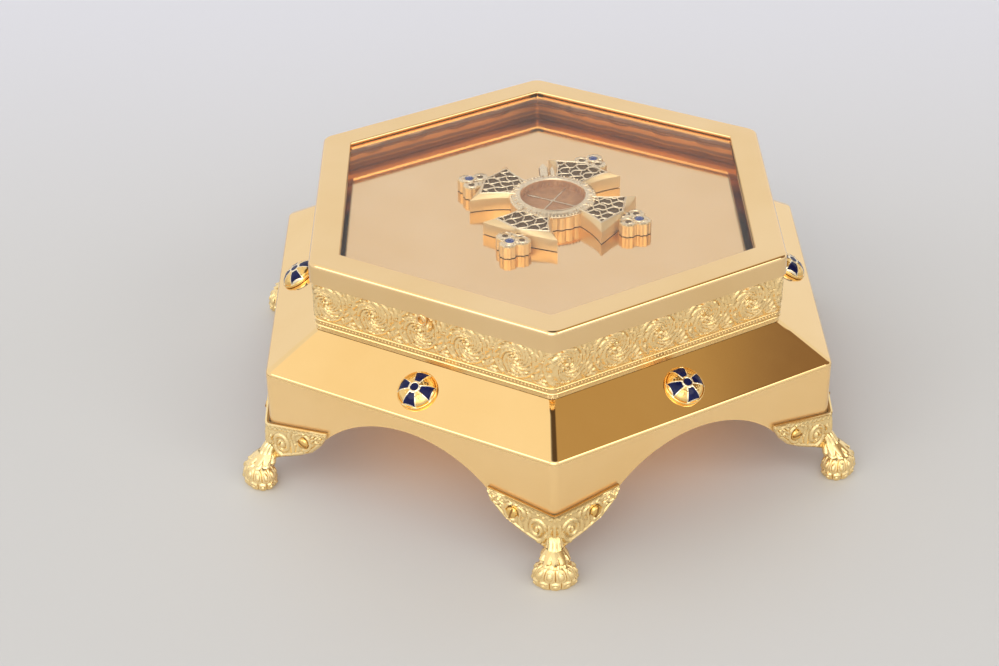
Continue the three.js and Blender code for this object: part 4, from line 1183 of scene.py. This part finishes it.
def cross_case():
    form = Form()
    for i in range(4):
        part = Form()
        arm(part)
        part.moved(Matrix.Rotation(i * math.pi / 2, 4, "Z"))
        form.join(part)
    turns = once_round(224)
    wall = circle(BEZEL_RADIUS - 1.2 + 0.7 * np.abs(np.cos(turns * DRUM_RIBS)), turns)
    form.band([with_height(wall, 0), with_height(wall, DRUM_TOP - 0.2)], 1)
    top = BEZEL_HEIGHT
    outer = ((2, 3.4), (0.2, 2.2), (0, 1.6), (0.4, 1.1), (1.3, 0.95), (1.7, 0.75))
    inner = ((1.8, 0.3), (1.2, 0.3), (0.8, 0), (0.3, 0.1), (0, 0.7))
    profile = [(BEZEL_RADIUS - back, top - down) for back, down in outer]
    profile += [(WINDOW_RADIUS + out, top - down) for out, down in inner]
    form.lathe(profile, 96)
    well = WINDOW_RADIUS - 0.3
    wall = [profile[-1], (WINDOW_RADIUS - 0.2, top - 1.2), (well, WINDOW_WELL)]
    form.lathe(wall, 96, mark=3)
    # marks round the bezel, as shallow strokes that aren't letters
    steps = np.linspace(WINDOW_RADIUS + 1.7, BEZEL_RADIUS - 1.9, 4)
    for i, way in enumerate(once_round(BEZEL_MARKS)):
        lean = 0.10 * ((i * 7) % 5 - 2)
        stroke = circle(steps, way + lean * (steps - steps[0]) / 8)
        form.strand(with_height(stroke, top - 0.42), np.full(4, 0.26), 0.25)
    for x, y in circle(BEZEL_RADIUS - 0.75, once_round(BEZEL_BEADS)):
        form.lathe([(0.55, 0), (0.38, 0.35), (0.001, 0.5)], 8, Matrix.Translation((x, y, top - 1.05)))
    form.fan(with_height(circle(well, turns), WINDOW_WELL), (0, 0, WINDOW_WELL), 3)
    for turn in (0, math.pi / 2):
        ends = np.linspace(-WINDOW_RADIUS + 1.6, WINDOW_RADIUS - 1.6, 21)
        swell = 0.34 + 0.3 * np.exp(-(ends / 1.2) ** 2)
        if turn:
            swell = swell + 0.35 * np.exp(-((ends - 9.5) / 1.3) ** 2)
        form.strand(with_height(circle(ends, turn), WINDOW_WELL + 0.4), swell, 0.3)
    boss = ((1.2, 0), (1.1, 0.6), (0.5, 0.9), (0.001, 0.95))
    form.lathe([(radius, WINDOW_WELL + height) for radius, height in boss], 20)
    hang_lug(form)
    form.moved(cross_place())
    materials = [cross_pale, cross_wall, cross_ground, relic_ground]
    form.piece("cross_case_dressed", materials, "cross_gilt", ["cross_case"], 45)


def hang_lug(form):
    """Two tines that lie beside the drum."""
    for sign in (-1, 1):
        middle = sign * 2.6
        near, far = BEZEL_RADIUS - 3, BEZEL_RADIUS + 14 + sign
        edge = np.array([
            (near, middle - 2.2), (far - 4, middle - 2.2), (far - 1.2, middle - 1.0), (far, middle),
            (far - 1.2, middle + 1.0), (far - 4, middle + 2.2), (near, middle + 2.2),
        ])
        centre = edge.mean(axis=0)
        small = centre + (edge - centre) * np.array([0.97, 0.82])
        top, low = DRUM_TOP - 1, DRUM_TOP - 3
        place = Matrix.Rotation(math.pi / 6, 4, "Z")
        rows = [with_height(edge, low), with_height(edge, top - 0.4), with_height(small, top)]
        form.band([put(row, place) for row in rows])
        form.fan(put(with_height(small, top), place), put([[*centre, top]], place)[0])
        form.fan(put(with_height(edge, low), place), put([[*centre, low]], place)[0])


def cross_place():
    return Matrix.Translation(CROSS_PLACE) @ Matrix.Rotation(CROSS_TURN, 4, "Z")


def cross_window():
    """The round pane of the reliquary, a little domed."""
    form = Form()
    radius, top = WINDOW_RADIUS - 0.4, WINDOW_BOTTOM + WINDOW_THICKNESS
    turns = np.linspace(0, math.pi / 2, 9)
    dome = [(radius * math.cos(t) + 0.001, top - 0.5 + 0.5 * math.sin(t)) for t in turns]
    form.lathe([(0.001, WINDOW_BOTTOM), (radius, WINDOW_BOTTOM), *dome], 96)
    form.moved(cross_place())
    form.piece("cross_window_dressed", [relic_pane], "clear_glass", ["cross_window"], 40)


def cross_stones():
    profile = [(0.001, -0.6), (STONE_RADIUS, -0.6), (STONE_RADIUS, 0.15)]
    for turn in np.linspace(0, math.pi / 2, 8)[1:-1]:
        profile.append((STONE_RADIUS * math.cos(turn), 0.15 + 1.1 * math.sin(turn)))
    profile.append((0.001, 1.25))
    for i, (x, y) in enumerate(circle(STONE_REACH, once_round(4))):
        form = Form()
        form.lathe(profile, 28, Matrix.Translation((x, y, FINIAL_HEIGHT)))
        form.moved(cross_place())
        name = f"cross_stone_{i + 1}"
        form.piece(f"{name}_dressed", [blue_stone], "blue_stone", [name], 50)


base_shell()
neck_band()
lid_frame()
feet()
screws()
medallions()
cross_case()
cross_window()
cross_stones()


def dress(node, material):
    """A new finish for a CAD node that keeps its shape."""
    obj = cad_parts[node]
    slots = obj.material_slots
    if len(slots):
        for item in slots:
            item.material = material
    else:
        obj.data.materials.append(material)


dress("display_floor", mirror)
dress("lid_glass", pane)


# Studio
TABLE_TONES = ((0.62, 0.624, 0.632), (0.635, 0.64, 0.65))
# painted light: the lighter, bluer tone the table fades to at the back
TABLE_BACK_PAINTED_LIGHT = (0.735, 0.75, 0.835)
TABLE_DEPTH = 0.6
TABLE_REACH = 8.0

# Lamps: place, aim, size, power and colour, in metres and watts
LAMPS = {
    "softbox_front": ((-0.3, -1.9, 1.5), (0, 0, 0.05), (1.6, 1.0), 7, (1.0, 0.96, 0.87)),
    "warm_bounce": ((0, 0, 0.055), (0, 0, 0), (0.17, 0.17), 0.034, (1.0, 0.42, 0.10)),
}

# The pale room and the patches in it that the metal mirrors: colour, direction and the cosines that each
# fades in between. The dark ones lie over the right roof face, and the last two light the eave's edge.
ROOM_LOW = (0.92, 0.925, 0.95)
EDGE_LIGHT = (3.2, 3.05, 2.7)
ROOM_PATCHES = (
    ((0.88, 0.89, 0.92), (0, 0.84, 0.54), 0.55, 0.95),
    ((1.5, 1.48, 1.42), (-0.1, -0.75, 0.66), 0.80, 0.90),
    ((0.10, 0.07, 0.05), (0.10, 0.10, 0.99), 0.90, 0.975),
    ((0.50, 0.37, 0.20), (0.56, 0.10, 0.82), 0.91, 0.96),
    ((0.27, 0.18, 0.11), (0.80, 0.15, 0.58), 0.926, 0.946),
    ((1.02, 0.97, 0.87), (-0.50, 0.04, 0.86), 0.94, 0.97),
    (EDGE_LIGHT, (-0.68, -0.39, 0.62), 0.975, 0.990),
    (EDGE_LIGHT, (0.68, -0.39, 0.62), 0.975, 0.990),
)


def table_material():
    """Pale grey, with painted light: a little lighter and bluer towards the back."""
    shader = new_shader("studio_table")
    place = shader.place()
    front = shader.mixed(shader.spread(shader.noise(place, 3.0, 2.0)), *TABLE_TONES)
    back = shader.soft_ramp(shader.axes(place)["Y"], 0.0, TABLE_DEPTH)
    return shader.surface({"Base Color": shader.mixed(back, front, TABLE_BACK_PAINTED_LIGHT), "Roughness": 0.55})


def table():
    mesh = bpy.data.meshes.new("studio_floor")
    edge = with_height(circle(TABLE_REACH, once_round(96)), 0)
    mesh.from_pydata(edge.tolist(), [], [tuple(range(len(edge)))])
    mesh.materials.append(table_material())
    floor = bpy.data.objects.new("studio_floor", mesh)
    bpy.context.scene.collection.objects.link(floor)


def lamps():
    for name, (place, aim, size, power, tint) in LAMPS.items():
        light = bpy.data.lights.new(name, "AREA")
        light.shape = "RECTANGLE"
        light.size, light.size_y = size
        light.energy = power
        light.color = tint
        light.spread = math.radians(110) if size[0] < 1 else math.pi
        lamp = bpy.data.objects.new(name, light)
        lamp.location = place
        lamp.rotation_mode = "QUATERNION"
        lamp.rotation_quaternion = (Vector(aim) - Vector(place)).to_track_quat("-Z", "Y")
        bpy.context.scene.collection.objects.link(lamp)


def room():
    world = bpy.data.worlds.new("studio_room")
    bpy.context.scene.world = world
    shader = Shader(world)
    direction = shader.nodes.new("ShaderNodeTexCoord").outputs["Generated"]
    colour = ROOM_LOW
    for patch, towards, start, end in ROOM_PATCHES:
        length = math.hypot(*towards)
        dot = shader.nodes.new("ShaderNodeVectorMath")
        dot.operation = "DOT_PRODUCT"
        dot.inputs[1].default_value = [c / length for c in towards]
        shader.links.new(direction, dot.inputs[0])
        colour = shader.mixed(shader.soft_ramp(dot.outputs["Value"], start, end), colour, patch)
    shader.fill(shader.nodes["Background"], {"Color": colour, "Strength": 1.0})


table()
lamps()
room()


# Camera at the photograph's viewing angle
AZIMUTH, ELEVATION, ROLL = (math.radians(v) for v in (-0.21, 32.55, -0.90))
TARGET = Vector((-22.1, 0, 29.9)) * MM
DISTANCE = 1.0345
LENS = 75.25


def camera():
    level = Vector((math.sin(AZIMUTH), -math.cos(AZIMUTH), 0))
    back = level * math.cos(ELEVATION) + Vector((0, 0, math.sin(ELEVATION)))
    right = Vector((math.cos(AZIMUTH), math.sin(AZIMUTH), 0))
    up = back.cross(right)
    turned_right = right * math.cos(ROLL) + up * math.sin(ROLL)
    turned_up = up * math.cos(ROLL) - right * math.sin(ROLL)
    data = bpy.data.cameras.new("camera")
    data.lens = LENS
    data.sensor_width = 36
    view = bpy.data.objects.new("camera", data)
    axes = Matrix((turned_right, turned_up, back)).transposed()
    view.matrix_world = Matrix.Translation(TARGET + back * DISTANCE) @ axes.to_4x4()
    bpy.context.scene.collection.objects.link(view)
    bpy.context.scene.camera = view
    bpy.context.scene.view_settings.view_transform = "Standard"


camera()
